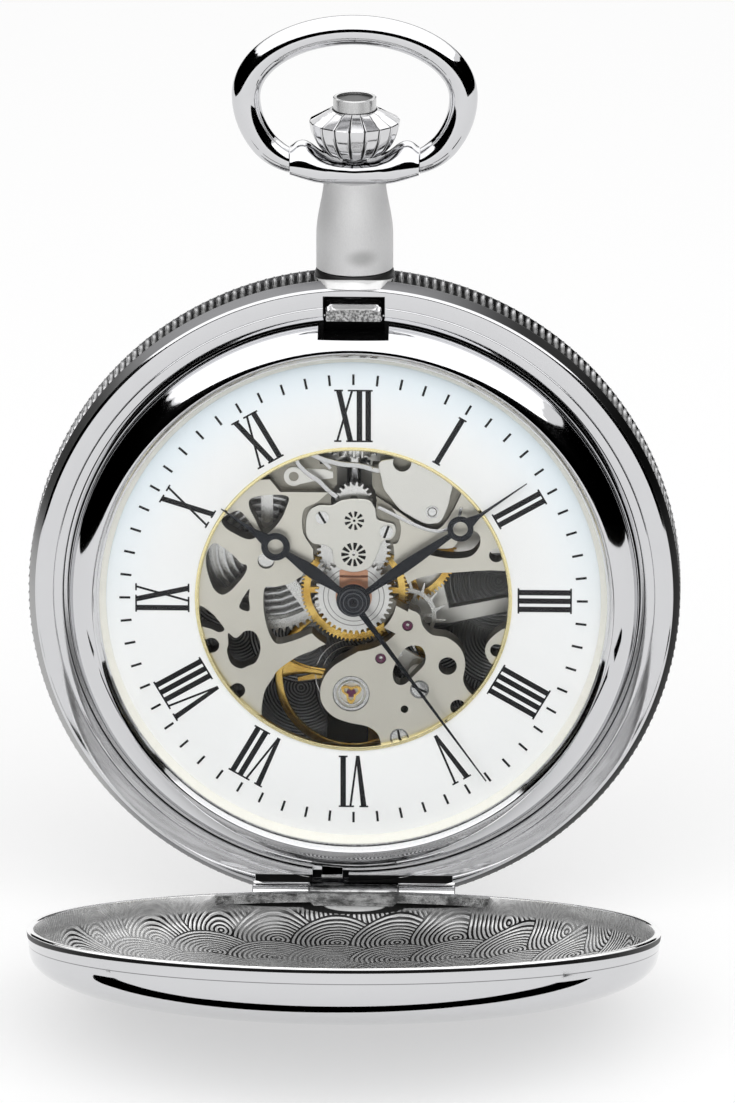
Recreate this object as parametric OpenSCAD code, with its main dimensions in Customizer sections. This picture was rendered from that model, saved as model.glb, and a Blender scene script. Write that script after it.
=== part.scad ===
// Double hunter pocket watch with an open-centre dial and a hand-wound skeleton movement.
// Each piece is drawn in the watch's own plane: x to the three, y to the twelve and the bow,
// z out of the dial, with zero at the centre of the dial and in the middle of the case band.
// One placing module then stands the watch upright under the top of its bow.

/* [Case] */
// Width of the coin edged band
band_w = 3.2; // [2.6:0.1:4]
// Width of the smooth step on each side of the band
step_w = 0.8; // [0.6:0.1:1.2]
// Height of the coin edge over the smooth step
coin_w = 0.5; // [0.4:0.05:0.8]
// Width of the flat seats that the covers close on
seat_w = 2.2; // [2.1:0.05:2.6]
// Width of the groove between a seat and a bezel
groove_w = 0.46; // [0.3:0.02:0.6]
// Wall of the necks that the bezels snap over
case_wall = 1.2; // [1:0.05:1.4]
// Height of that neck above the lid seat
case_neck_h = 1; // [0.8:0.05:1.2]
// Depth of the groove between the lid seat and the neck
groove_d = 0.6; // [0.4:0.1:0.8]
// Number of teeth in the coin edge
coin_teeth = 300; // [120:10:320]
// Depth of the coin edge teeth
coin_d = 0.25; // [0.1:0.05:0.35]

/* [Bezels] */
// Wall of a bezel outside its neck
bezel_wall = 1.24; // [1.1:0.02:1.4]
// Width of a bezel's top edge outside the bore
bezel_edge = 0.26; // [0.2:0.02:0.35]
// Height of a bezel above the lid seat
bezel_h = 2.4; // [2.2:0.1:2.8]
// Reach of the crystals over the edge of the bore
crystal_lap = 0.15; // [0.1:0.05:0.2]
// Thickness of the crystals
crystal_t = 0.5; // [0.3:0.1:0.6]
// Rise of the front crystal's dome
front_dome = 1.2; // [0.8:0.1:1.6]
// Rise of the rear crystal's dome
rear_dome = 0.4; // [0.2:0.1:0.8]
// Width of the catch notch in the front bezel
notch_w = 5.4; // [5:0.1:6]
// Metal left in the bezel behind that notch
notch_wall = 0.25; // [0.2:0.05:0.35]

/* [Covers] */
// Step of the seat outside both covers
lid_inset = 0.6; // [0.5:0.05:0.8]
// Height of the front cover's dome above the seat
lid_h = 6; // [5:0.25:9]
// Height of the rear cover's dome above the seat
rear_lid_h = 6; // [5:0.25:8]
// Thickness of the covers
lid_t = 0.55; // [0.45:0.05:0.7]
// Height of the straight wall at the rim of a cover
lid_wall = 1.3; // [1:0.1:1.8]
// Fullness of the dome, where two is an ellipse
dome_power = 2.5; // [2:0.1:3]
// Half width of the flat hinge plate inside the rim
hinge_plate_x = 10.5; // [9:0.5:11.5]
// Thickness of that plate
hinge_plate_t = 0.7; // [0.5:0.1:0.8]
// Angle that the front cover stands open at rest
open_angle = 78.5; // [60:0.5:85]
// Gap between a closed cover and its seat
lid_gap = 0.05; // [0.02:0.01:0.1]
// Width of the thumb lip on the rear cover
lip_w = 6; // [4:0.5:8]
// Radius of the small flat on top of the rear cover
flat_r = 4; // [3:0.5:6]

/* [Hinges] */
// Distance of both hinge axes outside the rims of the covers
hinge_out = 0.1; // [0.08:0.02:0.3]
// Height of both hinge axes above the seats
hinge_up = 0.4; // [0.3:0.05:0.45]
// Radius of the hinge knuckles
knuckle_r = 0.8; // [0.7:0.05:0.8]
// Half length of a cover's middle knuckle
knuckle_x = 3.4; // [2.5:0.1:4.5]
// Half length of the whole hinge
hinge_x = 7.8; // [6:0.1:9]
// Radius of the hinge pins
pin_r = 0.3; // [0.2:0.05:0.4]
// Radial clearance of a turning knuckle on its pin
pin_gap = 0.03; // [0.02:0.01:0.06]
// Gap between neighbouring knuckles
knuckle_gap = 0.1; // [0.06:0.02:0.2]

/* [Pendant] */
// Radius of the pendant tube at its foot
pend_r = 3.05; // [2.9:0.05:3.2]
// Radius of the pendant tube under the collar
pend_top_r = 2.4; // [2.35:0.05:2.7]
// Radius of the bore in the pendant tube
pend_bore_r = 2.05; // [1.95:0.05:2.1]
// Distance from the case edge in to the foot of the pendant
pend_sink = 0.9; // [0.8:0.1:1.2]
// Height of the tube from the case edge to the collar
pend_h = 7.4; // [7:0.1:9]
// Half width of the collar over its ears
collar_x = 4.9; // [4.6:0.1:5.5]
// Thickness of the collar
collar_t = 3.6; // [3:0.1:4.6]
// Height of the collar to the top of its saddle
collar_h = 1.9; // [1.7:0.1:2.2]
// Radius of the ears
ear_r = 1.4; // [1.3:0.05:1.5]

/* [Bow] */
// Half width of the bow along its middle line
bow_x = 8.25; // [7.8:0.05:9]
// Height of the upper half of the bow's middle line
bow_up = 5.2; // [5:0.1:6]
// Height of the bow's widest place over its pins
bow_rise = 5.25; // [5:0.05:6]
// Radius of the bow's wire at the top
bow_wire = 1.1; // [1:0.05:1.3]
// Radius of the bow's wire at its ends
bow_end = 0.75; // [0.6:0.05:0.9]
// Radius of the bow's pins
bow_pin_r = 0.7; // [0.5:0.05:0.8]
// Radial clearance of the bow's pins in the ears
bow_gap = 0.06; // [0.03:0.01:0.09]

/* [Crown] */
// Largest radius of the crown
crown_r = 3.48; // [3:0.02:3.6]
// Height of the crown from its skirt to its shoulder
crown_h = 2.6; // [2.4:0.1:2.9]
// Height of the cone above the shoulder
crown_cone = 0.85; // [0.6:0.05:1]
// Radius of the crown's skirt
crown_skirt_r = 1.9; // [1.8:0.05:2]
// Number of ribs on the crown
crown_ribs = 18; // [14:1:24]
// Gap between the collar's saddle and the crown
crown_gap = 0.15; // [0.1:0.05:0.3]
// Travel of the crown when it is pulled out to set the hands
pull = 1; // [0.6:0.1:1]
// Radius of the push button
button_r = 1.64; // [1.4:0.02:1.7]
// Height of the push button above the crown
button_h = 1; // [0.95:0.05:1.2]
// Travel of the push button
push = 0.8; // [0.6:0.05:0.8]
// Radial running clearance of sliding and turning pieces
run_gap = 0.06; // [0.04:0.01:0.08]

/* [Dial] */
// Radius of the opening in the middle of the dial
dial_in_r = 11.9; // [11.5:0.1:12.2]
// Thickness of the dial
dial_t = 0.4; // [0.3:0.05:0.5]
// Width of the gold ring round the opening
dial_ring_w = 0.35; // [0.25:0.05:0.5]
// Reach of the sloping ring in over the dial
flange_w = 0.47; // [0.4:0.01:0.6]

/* [Hands] */
// Length of the hour hand
hour_len = 12.4; // [10:0.1:13]
// Length of the minute hand
minute_len = 16.3; // [14:0.1:17]
// Length of the seconds hand
second_len = 17.5; // [16:0.1:18]
// Hour hand, degrees past twelve
hour_at = 305.5; // [0:0.5:360]
// Minute hand, degrees past twelve
minute_at = 54.3; // [0:0.1:360]
// Seconds hand, degrees past twelve
second_at = 144.4; // [0:0.1:360]
// Thickness of the hands
hand_t = 0.12; // [0.08:0.01:0.14]
// Distance of the hour hand's ring from the centre
hour_ring_at = 7.3; // [6:0.1:8]
// Distance of the minute hand's ring from the centre
minute_ring_at = 10.07; // [8:0.1:12]
// Radius of the hour hand's ring
hour_ring_r = 1.1; // [0.9:0.05:1.3]
// Radius of the minute hand's ring
minute_ring_r = 1; // [0.8:0.05:1.2]
// Width of the hour hand at its root
hour_hand_w = 1.1; // [0.8:0.05:1.3]
// Width of the minute hand at its root
minute_hand_w = 0.95; // [0.7:0.05:1.1]
// Radius of the hub of the hour hand
hand_hub_r = 1.35; // [1.25:0.05:1.5]

/* [Movement] */
// Radius of the main plate
plate_r = 18.5; // [18.4:0.05:18.7]
// Thickness of the main plate
plate_t = 1.8; // [1.7:0.05:1.9]
// Depth of the recess for the motion work
motion_d = 1.2; // [1.15:0.05:1.3]
// Width of the ring that holds the movement in the case
movement_ring_w = 0.9; // [0.8:0.05:1.2]
// Step in from the edge of the main plate to the bridges
bridge_inset = 0.7; // [0.5:0.05:1]
// Thickness of the bridges
bridge_t = 0.9; // [0.8:0.05:1]
// Clear height between the main plate and the bridges
train_h = 2.55; // [2.5:0.05:2.65]
// Radius of the screw heads
screw_head_r = 0.7; // [0.5:0.05:0.8]
// Radius of the screw shanks
screw_r = 0.35; // [0.3:0.05:0.4]
// Radius of the train jewels
jewel_r = 0.42; // [0.35:0.01:0.5]
// Radius of the pivots
pivot_r = 0.12; // [0.1:0.01:0.15]
// Radial clearance of the pivots
pivot_gap = 0.03; // [0.02:0.005:0.04]

/* [Going train] */
// Barrel axis, sideways from the centre
barrel_x = -6.7; // [-7:0.05:-6.6]
// Barrel axis, up from the centre
barrel_y = 2.9; // [2.7:0.05:3.1]
// Teeth on the barrel
barrel_teeth = 72; // [60:1:80]
// Teeth on the centre pinion
centre_pinion_teeth = 10; // [10:1:12]
// Teeth on the centre wheel
centre_teeth = 80; // [80:1:80]
// Third wheel axis, sideways from the centre
third_x = 3.7; // [3.6:0.05:3.8]
// Third wheel axis, up from the centre
third_y = 2.6; // [2.5:0.05:2.7]
// Teeth on the third wheel
third_teeth = 75; // [75:1:75]
// Escape wheel axis, sideways from the centre
escape_x = 4.13; // [4.08:0.01:4.2]
// Escape wheel axis, up from the centre
escape_y = -2.2; // [-2.3:0.02:-2.15]
// Teeth on the fourth wheel
fourth_teeth = 80; // [80:1:80]
// Pallet fork axis, sideways from the centre
pallet_x = 2.07; // [2:0.01:2.1]
// Pallet fork axis, up from the centre
pallet_y = -4.85; // [-4.9:0.01:-4.8]
// Balance axis, sideways from the centre
balance_x = -0.2; // [-0.3:0.05:-0.1]
// Balance axis, up from the centre
balance_y = -7.7; // [-7.8:0.05:-7.6]
// Radius of the balance wheel
balance_r = 6; // [5.6:0.1:6]
// Turns of the balance spring
hair_turns = 5; // [4:1:5]
// Step between turns of the balance spring
hair_pitch = 0.5; // [0.48:0.01:0.52]
// Turns of the mainspring
main_turns = 7; // [6:1:7]
// Step between turns of the mainspring
main_pitch = 0.56; // [0.54:0.01:0.58]

/* [Winding and setting] */
// Minute wheel axis, up from the centre
minute_y = 3.6; // [3.55:0.01:3.65]
// Setting wheel axis, up from the centre
setting_y = 7.6; // [7.55:0.05:7.7]
// Crown wheel axis, up from the centre
crown_wheel_y = 7.6; // [7.5:0.05:7.7]
// Teeth on the crown wheel
crown_wheel_teeth = 36; // [30:1:40]
// Teeth on the ratchet wheel
ratchet_teeth = 50; // [44:1:54]
// Teeth on the winding pinion
winding_teeth = 21; // [21:1:21]
// Radius of the lower stem
stem_r = 0.6; // [0.5:0.05:0.65]
// Travel of the sliding pinion
clutch_travel = 0.5; // [0.3:0.05:0.55]

/* [Hidden] */

// Radii of the case, from the movement outward
bore_r = plate_r + movement_ring_w;
case_neck_r = bore_r + case_wall;
bezel_r = case_neck_r + bezel_wall;
bezel_in_r = bore_r + bezel_edge;
crystal_r = bore_r + crystal_lap;
notch_r = case_neck_r + notch_wall;
seat_in_r = bezel_r + groove_w;
seat_out_r = seat_in_r + seat_w;
case_r = seat_out_r + coin_w;
lid_r = seat_out_r - lid_inset;
hinge_y = lid_r + hinge_out;
flange_r = bore_r - flange_w;
bridge_r = plate_r - bridge_inset;

// Heights in the case, measured from its middle
seat_z = band_w / 2 + step_w;
hinge_z = seat_z + hinge_up;
groove_z = seat_z - groove_d;
neck_z = seat_z + case_neck_h;
bezel_z = seat_z + bezel_h;
crystal_z = bezel_z - 0.5;
bezel_bore_r = case_neck_r + 0.05;

// Heights in the movement
dial_z = neck_z - dial_t;
plate_z = dial_z;
plate_back = plate_z - plate_t;
motion_z = plate_z - motion_d;
bridge_z = plate_back - train_h;
bridge_back = bridge_z - bridge_t;
winder_z = bridge_back + 0.35;
minute_z = motion_z + 0.2;
hour_z = minute_z + 0.45;
center_z = plate_back - 0.4;
barrel_top = center_z - 0.25;
barrel_flange = 0.35;
barrel_bottom = barrel_top - 1.35;
third_z = barrel_bottom + 0.1;
fourth_z = barrel_bottom - 0.32;
escape_z = third_z + 0.8;
balance_z = fourth_z - 0.63;
cock_z = bridge_back - 1.15;
cock_front = bridge_back - 0.25;
wheel_t = 0.2;

// Levels of the hands
hour_hand_z = neck_z + 0.2;
minute_hand_z = hour_hand_z + 0.3;
second_hand_z = minute_hand_z + 0.3;

// Gear sizes that follow from the axes
barrel_d = norm([barrel_x, barrel_y]);
barrel_m = 2 * barrel_d / (barrel_teeth + centre_pinion_teeth);
third_d = norm([third_x, third_y]);
center_m = 2 * third_d / (centre_teeth + 10);
third_m = 2 * third_d / (third_teeth + 10);
escape_d = norm([escape_x, escape_y]);
fourth_m = 2 * escape_d / (fourth_teeth + 8);
pallet_d = norm([escape_x - pallet_x, escape_y - pallet_y]);
escape_r = pallet_d / 1.155;
third_a = atan2(third_y, third_x);
escape_a = atan2(escape_y, escape_x);
minute_m = 2 * minute_y / 48;
hour_m = 2 * minute_y / 50;
setting_d = setting_y - minute_y;
setting_teeth = 18;
setting_m = 2 * (setting_d - minute_m * 18) / setting_teeth;
winder_d = norm([barrel_x, barrel_y - crown_wheel_y]);
winder_m = 2 * winder_d / (crown_wheel_teeth + ratchet_teeth);

// Heights along the pendant, measured from the dial centre
pend_y = case_r - pend_sink;
collar_y = case_r + pend_h;
saddle_y = collar_y + collar_h;
ear_y = collar_y + 1.6;
ear_x = collar_x - ear_r;
bow_axis_y = collar_y + 1.25;
crown_y = saddle_y + crown_gap;
shoulder_y = crown_y + crown_h;
crown_top_y = shoulder_y + crown_cone;
button_floor = crown_y + 1.5;
button_y = crown_top_y + button_h;
bow_pin_end = collar_x + 0.35;
bow_phi = asin(bow_pin_end / bow_x);
bow_down = bow_rise / cos(bow_phi);
bow_mid_y = bow_axis_y + bow_rise;
hang_y = bow_mid_y + bow_up - bow_wire;

// Heights along the stem
winding_h = 0.9;
winding_y = crown_wheel_y + winder_m * (crown_wheel_teeth / 2 - 1.15) + 0.08;
sliding_h = 1.1;
sliding_y = winding_y - sliding_h - 0.05;
stem_end_y = sliding_y - clutch_travel - pull;
tube_y = case_r - 3;
upper_stem_r = 0.9;
rod_r = 0.4;
slot_y = case_r + 2;
pin_y = slot_y + push + 0.2;
sleeve_y = case_r - 1.05;
catch_foot_y = sleeve_y - 0.65;
catch_foot_r = pend_bore_r - run_gap;
catch_w = 4.36;
catch_in_y = seat_in_r - 0.3;
catch_out_y = lid_r - 0.3;
catch_low = upper_stem_r + 0.2;
lift_y = hinge_y - knuckle_r + 0.1;
lift_d = 1.2;
screw_head_t = 0.3;
foot_r = 1.2;
foot_in = 1.8;
barrel_feet = [for (a = [168, 109, 182]) polar(plate_r - foot_in, a)];
train_feet = [for (a = [61, 12, -11.5]) polar(plate_r - foot_in, a)];
cock_room = plate_r + balance_y - balance_r;
cock_foot_r = cock_room * 0.437;
cock_foot = [balance_x, balance_y - balance_r - cock_room * 0.458];
pallet_feet = [[4.9, -6.6]];

function polar(r, a) = [r * cos(a), r * sin(a)];

// A superellipse dome from the rim radius in to the axis
function dome(r, h, n) = [for (i = [0:n]) let (a = 90 * i / n)
    [r * pow(cos(a), 2 / dome_power), h * pow(sin(a), 2 / dome_power)]];

// One quarter of an ellipse from the foot of a bezel to its top edge
function quarter(r0, r1, z0, z1, n) = [for (i = [0:n]) let (a = 90 * i / n)
    [r1 + (r0 - r1) * cos(a), z0 + (z1 - z0) * sin(a)]];

// A flat strip wound in a spiral of even step
function spiral(r, pitch, turns, t, steps) = concat(
    [for (i = [0:turns * steps]) polar(r + pitch * i / steps, 360 * i / steps)],
    [for (i = [turns * steps:-1:0]) polar(r + t + pitch * i / steps, 360 * i / steps)]);

// Faces of a tube of rings of points, with both ends closed
function tube_faces(n, sides) = concat(
    [for (i = [0:n - 1], k = [0:sides - 1])
        let (a = i * sides + k, b = i * sides + (k + 1) % sides) [a, b + sides, b]],
    [for (i = [0:n - 1], k = [0:sides - 1])
        let (a = i * sides + k, b = i * sides + (k + 1) % sides) [a, a + sides, b + sides]],
    [[for (k = [0:sides - 1]) k]],
    [[for (k = [sides - 1:-1:0]) n * sides + k]]);

// Stands the watch under the top of its bow, dial to the front
module placed() {
    translate([0, 0, -hang_y])
        rotate([90, 0, 0])
            children();
}

module disc(r, z0, z1, n = 96) {
    translate([0, 0, z0])
        cylinder(r = r, h = z1 - z0, $fn = n);
}

module ring(r1, r0, z0, z1, n = 96) {
    translate([0, 0, z0])
        difference() {
            cylinder(r = r1, h = z1 - z0, $fn = n);
            translate([0, 0, -1])
                cylinder(r = r0, h = z1 - z0 + 2, $fn = n);
        }
}

// A cylinder along the pendant, from one height to another
module post(r, y0, y1, n = 48) {
    translate([0, y0, 0])
        rotate([-90, 0, 0])
            cylinder(r = r, h = y1 - y0, $fn = n);
}

// A cylinder along a hinge
module rod(r, x0, x1, n = 32) {
    translate([x0, 0, 0])
        rotate([0, 90, 0])
            cylinder(r = r, h = x1 - x0, $fn = n);
}

module slab(z0, z1) {
    translate([0, 0, z0])
        linear_extrude(height = z1 - z0)
            children();
}

module spot(p) {
    translate([p[0], p[1], 0])
        children();
}

// Outline of a gear with straight-sided teeth
module gear_2d(teeth, m, phase = 0) {
    r = m * teeth / 2;
    step = 360 / teeth;
    polygon([for (i = [0:teeth - 1], k = [0:3])
        let (a = phase + step * (i + [-0.27, -0.1, 0.1, 0.27][k]))
        polar(r + m * [-1.15, 0.85, 0.85, -1.15][k], a)]);
}

// Rim, spokes and hub of a wheel
module wheel_2d(teeth, m, rim, hub, spokes, spoke_w, phase = 0) {
    r = m * teeth / 2 - 1.15 * m - rim;
    difference() {
        gear_2d(teeth, m, phase);
        circle(r = r, $fn = 96);
    }
    circle(r = hub, $fn = 48);
    for (i = [0:spokes - 1])
        rotate(360 * i / spokes)
            translate([0, -spoke_w / 2])
                square([r + rim / 2, spoke_w]);
}

// An arbor with a thin pivot at each end
module arbor(r, z0, z1, p0, p1) {
    disc(r, z0, z1, 32);
    disc(pivot_r, p0, z0 + 0.01, 24);
    disc(pivot_r, z1 - 0.01, p1, 24);
}

// Case

module coin_edge() {
    step = 360 / coin_teeth;
    slab(-band_w / 2, band_w / 2)
        polygon([for (i = [0:coin_teeth - 1], k = [0:3])
            polar(case_r - [coin_d, 0, 0, coin_d][k], step * (i + [0, 0.3, 0.6, 0.9][k]))]);
}

module case_profile() {
    rotate_extrude($fn = 180)
        polygon([[bore_r, -neck_z], [case_neck_r, -neck_z], [case_neck_r, -groove_z],
            [seat_in_r, -groove_z], [seat_in_r, -seat_z], [seat_out_r, -seat_z],
            [seat_out_r, seat_z], [seat_in_r, seat_z], [seat_in_r, groove_z],
            [case_neck_r, groove_z], [case_neck_r, neck_z], [bore_r, neck_z]]);
}

// Two fixed knuckles of a hinge, on a block that grows out of the band
module case_knuckles() {
    for (side = [-1, 1]) {
        x0 = side > 0 ? knuckle_x + knuckle_gap / 2 : -hinge_x;
        x1 = side > 0 ? hinge_x : -knuckle_x - knuckle_gap / 2;
        translate([0, -hinge_y, hinge_z])
            rod(knuckle_r, x0, x1);
        translate([x0, -hinge_y - knuckle_r + 0.05, seat_z - 1.4])
            cube([x1 - x0, 2, 1.4]);
        translate([x0, -hinge_y - knuckle_r + 0.05, seat_z - 0.1])
            cube([x1 - x0, knuckle_r, hinge_up + 0.1]);
    }
}

module case_middle() {
    color("silver") placed()
        difference() {
            union() {
                case_profile();
                difference() {
                    coin_edge();
                    disc(seat_out_r - 0.2, -band_w, band_w);
                }
                case_knuckles();
                mirror([0, 0, 1])
                    case_knuckles();
            }
            post(pend_r, pend_y, case_r + 2);
            post(upper_stem_r + run_gap, bore_r - 2, case_r);
            post(pend_bore_r, catch_foot_y - push, case_r);
            translate([-catch_w / 2 - 0.15, notch_r, catch_low - 0.1])
                cube([catch_w + 0.3, catch_out_y + 0.12 - notch_r, 5]);
            translate([-3.2, -lift_y, seat_z - lift_d])
                cube([2.8, 1.5, 3]);
            for (z = [-hinge_z, hinge_z]) {
                translate([0, -hinge_y, z])
                    rod(knuckle_r + 0.12, -knuckle_x - knuckle_gap / 2,
                        knuckle_x + knuckle_gap / 2);
                translate([0, -hinge_y, z])
                    rod(pin_r, -hinge_x - 1, hinge_x + 1);
            }
        }
}

module bezel_profile() {
    rotate_extrude($fn = 180)
        polygon(concat([[bezel_bore_r, groove_z], [bezel_r, groove_z]],
            quarter(bezel_r, bezel_in_r, seat_z + 0.05, bezel_z, 14),
            [[crystal_r, bezel_z - 0.1], [crystal_r, crystal_z], [crystal_r - 0.15, crystal_z],
            [crystal_r - 0.15, crystal_z - 0.15], [bezel_bore_r, crystal_z - 0.15]]));
}

module front_bezel() {
    color("gainsboro") placed()
        difference() {
            bezel_profile();
            translate([-notch_w / 2, notch_r, groove_z - 1])
                cube([notch_w, 3, bezel_z + 2]);
        }
}

module rear_bezel() {
    color("gainsboro") placed()
        mirror([0, 0, 1])
            bezel_profile();
}

// A domed disc whose two faces are the same arc
module crystal(rise) {
    n = 12;
    glass_r = crystal_r - 0.01;
    rotate_extrude($fn = 120)
        polygon(concat(
            [for (i = [0:n]) let (r = glass_r * i / n)
                [r, crystal_z + rise * (1 - pow(r / glass_r, 2))]],
            [for (i = [n:-1:0]) let (r = glass_r * i / n)
                [r, crystal_z + crystal_t + rise * (1 - pow(r / glass_r, 2))]]));
}

module front_crystal() {
    color("lightcyan", 0.3) placed()
        crystal(front_dome);
}

module rear_crystal() {
    color("lightcyan", 0.3) placed()
        mirror([0, 0, 1])
            crystal(rear_dome);
}

// A cover in its closed place: wall, dome, hinge plate and middle knuckle
module cover_shell(height) {
    z0 = seat_z + lid_gap;
    rise = height - lid_wall;
    outer = dome(lid_r, rise, 16);
    inner = dome(lid_r - lid_t, rise - lid_t, 16);
    difference() {
        union() {
            rotate_extrude($fn = 180)
                polygon(concat([[lid_r - lid_t, z0], [lid_r, z0]],
                    [for (p = outer) [p[0], p[1] + z0 + lid_wall]],
                    [for (i = [len(inner) - 1:-1:0]) inner[i] + [0, z0 + lid_wall]]));
            intersection() {
                disc(lid_r - lid_t / 2, z0, z0 + hinge_plate_t);
                translate([-hinge_plate_x, -lid_r, 0])
                    cube([2 * hinge_plate_x, 2.6, bezel_z + 2]);
            }
            translate([0, -hinge_y, hinge_z])
                rod(knuckle_r, -knuckle_x, knuckle_x);
            translate([-knuckle_x, -hinge_y, z0])
                cube([2 * knuckle_x, 1, hinge_up + knuckle_r - lid_gap]);
        }
        disc(bezel_r + 0.25, z0 - 1, z0 + hinge_plate_t + 0.1);
        for (side = [-1, 1]) {
            x0 = side > 0 ? knuckle_x : -hinge_x - knuckle_gap;
            x1 = side > 0 ? hinge_x + knuckle_gap : -knuckle_x;
            translate([0, -hinge_y, hinge_z])
                rod(knuckle_r + 0.12, x0, x1);
        }
        translate([0, -hinge_y, hinge_z])
            rod(pin_r + pin_gap, -knuckle_x - 1, knuckle_x + 1);
    }
}

module front_cover() {
    color("silver") placed()
        translate([0, -hinge_y, hinge_z])
            rotate([open_angle, 0, 0])
                translate([0, hinge_y, -hinge_z])
                    difference() {
                        cover_shell(lid_h);
                        translate([-catch_w / 2 - 0.2, catch_out_y - 2, seat_z - 1])
                            cube([catch_w + 0.4, 2.12, 2]);
                    }
}

module rear_cover() {
    z0 = seat_z + lid_gap;
    color("silver") placed()
        mirror([0, 0, 1])
            difference() {
                union() {
                    cover_shell(rear_lid_h);
                    rotate(-30)
                        intersection() {
                            ring(lid_r + 0.7, lid_r - lid_t / 2, z0, z0 + 0.5);
                            translate([-lip_w / 2, 0, 0])
                                cube([lip_w, lid_r + 2, 6]);
                        }
                }
                disc(flat_r, z0 + rear_lid_h - 0.06, z0 + rear_lid_h + 1);
            }
}

module hinge_pin() {
    translate([0, -hinge_y, hinge_z])
        rod(pin_r, -hinge_x, hinge_x);
}

module front_hinge_pin() {
    color("dimgray") placed()
        hinge_pin();
}

module rear_hinge_pin() {
    color("dimgray") placed()
        mirror([0, 0, 1])
            hinge_pin();
}

module lift_spring() {
    color("slategray") placed()
        translate([-2.5, -lift_y, seat_z])
            rotate([0, 90, 0])
                linear_extrude(height = 1.6)
                    polygon([[lift_d, 0.1], [lift_d, 1.1], [lift_d - 0.25, 1.1],
                        [0.1, 0.75], [0.05, 0.55], [lift_d - 0.25, 0.85],
                        [lift_d - 0.25, 0.1]]);
}

// Pendant, bow and crown

module pendant_neck() {
    color("lightgray") placed()
        difference() {
            union() {
                rotate([-90, 0, 0])
                    rotate_extrude($fn = 64)
                        polygon([[0, pend_y], [pend_r, pend_y], [pend_r, pend_y + 0.7],
                            [pend_r - 0.1, pend_y + 0.8], [pend_r - 0.1, pend_y + 2.6],
                            [pend_top_r, collar_y - 1.2], [pend_top_r, collar_y + 0.2],
                            [0, collar_y + 0.2]]);
                translate([0, 0, -collar_t / 2])
                    linear_extrude(height = collar_t)
                        difference() {
                            union() {
                                translate([-ear_x, collar_y])
                                    square([2 * ear_x, collar_h]);
                                for (side = [-1, 1])
                                    translate([side * ear_x, ear_y])
                                        circle(r = ear_r, $fn = 48);
                            }
                            translate([-crown_skirt_r - 0.35, saddle_y])
                                square([2 * crown_skirt_r + 0.7, 3]);
                        }
            }
            post(pend_bore_r, pend_y - 1, collar_y - 1);
            post(upper_stem_r + run_gap, pend_y, saddle_y + 1);
            translate([0, bow_axis_y, 0])
                rod(bow_pin_r + bow_gap, ear_x - ear_r * 0.2, collar_x + 1);
            translate([0, bow_axis_y, 0])
                rod(bow_pin_r + bow_gap, -collar_x - 1, -ear_x + ear_r * 0.2);
            rotate([-90, 0, 0])
                rotate_extrude($fn = 64)
                    polygon(concat(crown_side(0.1), [[0, shoulder_y - 0.2]]));
        }
}

// Outline of the crown under its shoulder, grown by a gap for the room it needs
function crown_side(gap) = [[0, crown_y - gap], [crown_skirt_r + gap, crown_y - gap],
    [crown_r * 0.7 + gap, crown_y + 0.2], [crown_r * 0.86 + gap, crown_y + 0.9],
    [crown_r * 0.96 + gap, crown_y + 1.6], [crown_r + gap, shoulder_y - 0.2]];

// Point on the bow's middle line, where zero is the top
function bow_at(t) = [bow_x * sin(t), bow_mid_y + bow_half(t) * cos(t)];

// Height of the half ellipse that a point of the bow is on
function bow_half(t) = cos(t) > 0 ? bow_up : bow_down;

// Direction out of the bow at that point
function bow_out(t) = [bow_half(t) * sin(t), bow_x * cos(t)]
    / norm([bow_half(t) * sin(t), bow_x * cos(t)]);

// The bow's wire thins towards its ends, which stand square on the pins
module bow() {
    span = 180 - bow_phi;
    n = 56;
    sides = 12;
    points = [for (i = [0:n], k = [0:sides - 1])
        let (t = span * (2 * i / n - 1), b = 360 * k / sides, p = bow_at(t),
            w = bow_end + (bow_wire - bow_end) * min(1, 1.9 * (1 - abs(2 * i / n - 1))),
            d = i == 0 || i == n ? [0, -1] : bow_out(t))
        [p[0] + w * cos(b) * d[0], p[1] + w * cos(b) * d[1], w * sin(b)]];
    color("silver") placed() {
        polyhedron(points, tube_faces(n, sides));
        for (side = [0, 1])
            mirror([side, 0, 0])
                translate([0, bow_axis_y, 0])
                    rod(bow_pin_r, ear_x, bow_pin_end + 0.2);
    }
}

module crown() {
    step = 360 / crown_ribs;
    color("silver") placed()
        rotate([-90, 0, 0])
            difference() {
                intersection() {
                    rotate_extrude($fn = 96)
                        polygon(concat(crown_side(0), [[crown_r - 0.05, shoulder_y],
                            [button_r + 0.25, crown_top_y], [0, crown_top_y]]));
                    translate([0, 0, crown_y - 1])
                        linear_extrude(height = crown_h + crown_cone + 2)
                            difference() {
                                circle(r = crown_r + 0.1, $fn = 96);
                                for (i = [0:crown_ribs - 1])
                                    rotate(step * (i + 0.25))
                                        translate([crown_r, -0.08])
                                            square([1, 0.16], center = true);
                            }
                }
                disc(button_r + run_gap, button_floor, crown_top_y + 1, 64);
                disc(upper_stem_r, crown_y - 1, crown_top_y, 48);
                ring(1.35, upper_stem_r - 0.05, crown_y - 1, crown_y + 0.35, 48);
            }
}

module crown_gasket() {
    color("black") placed()
        rotate([-90, 0, 0])
            ring(1.25, upper_stem_r + 0.05, crown_y + 0.02, crown_y + 0.3, 48);
}

module push_button() {
    color("gainsboro") placed() {
        difference() {
            post(button_r, button_floor + push + 0.15, button_y);
            post(button_r - 0.28, button_y - 0.25, button_y + 1);
        }
        post(rod_r, pin_y - 0.3, button_floor + push + 0.2, 24);
        translate([0, pin_y, 0])
            rod(0.2, -1.5, 1.5, 24);
    }
}

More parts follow.
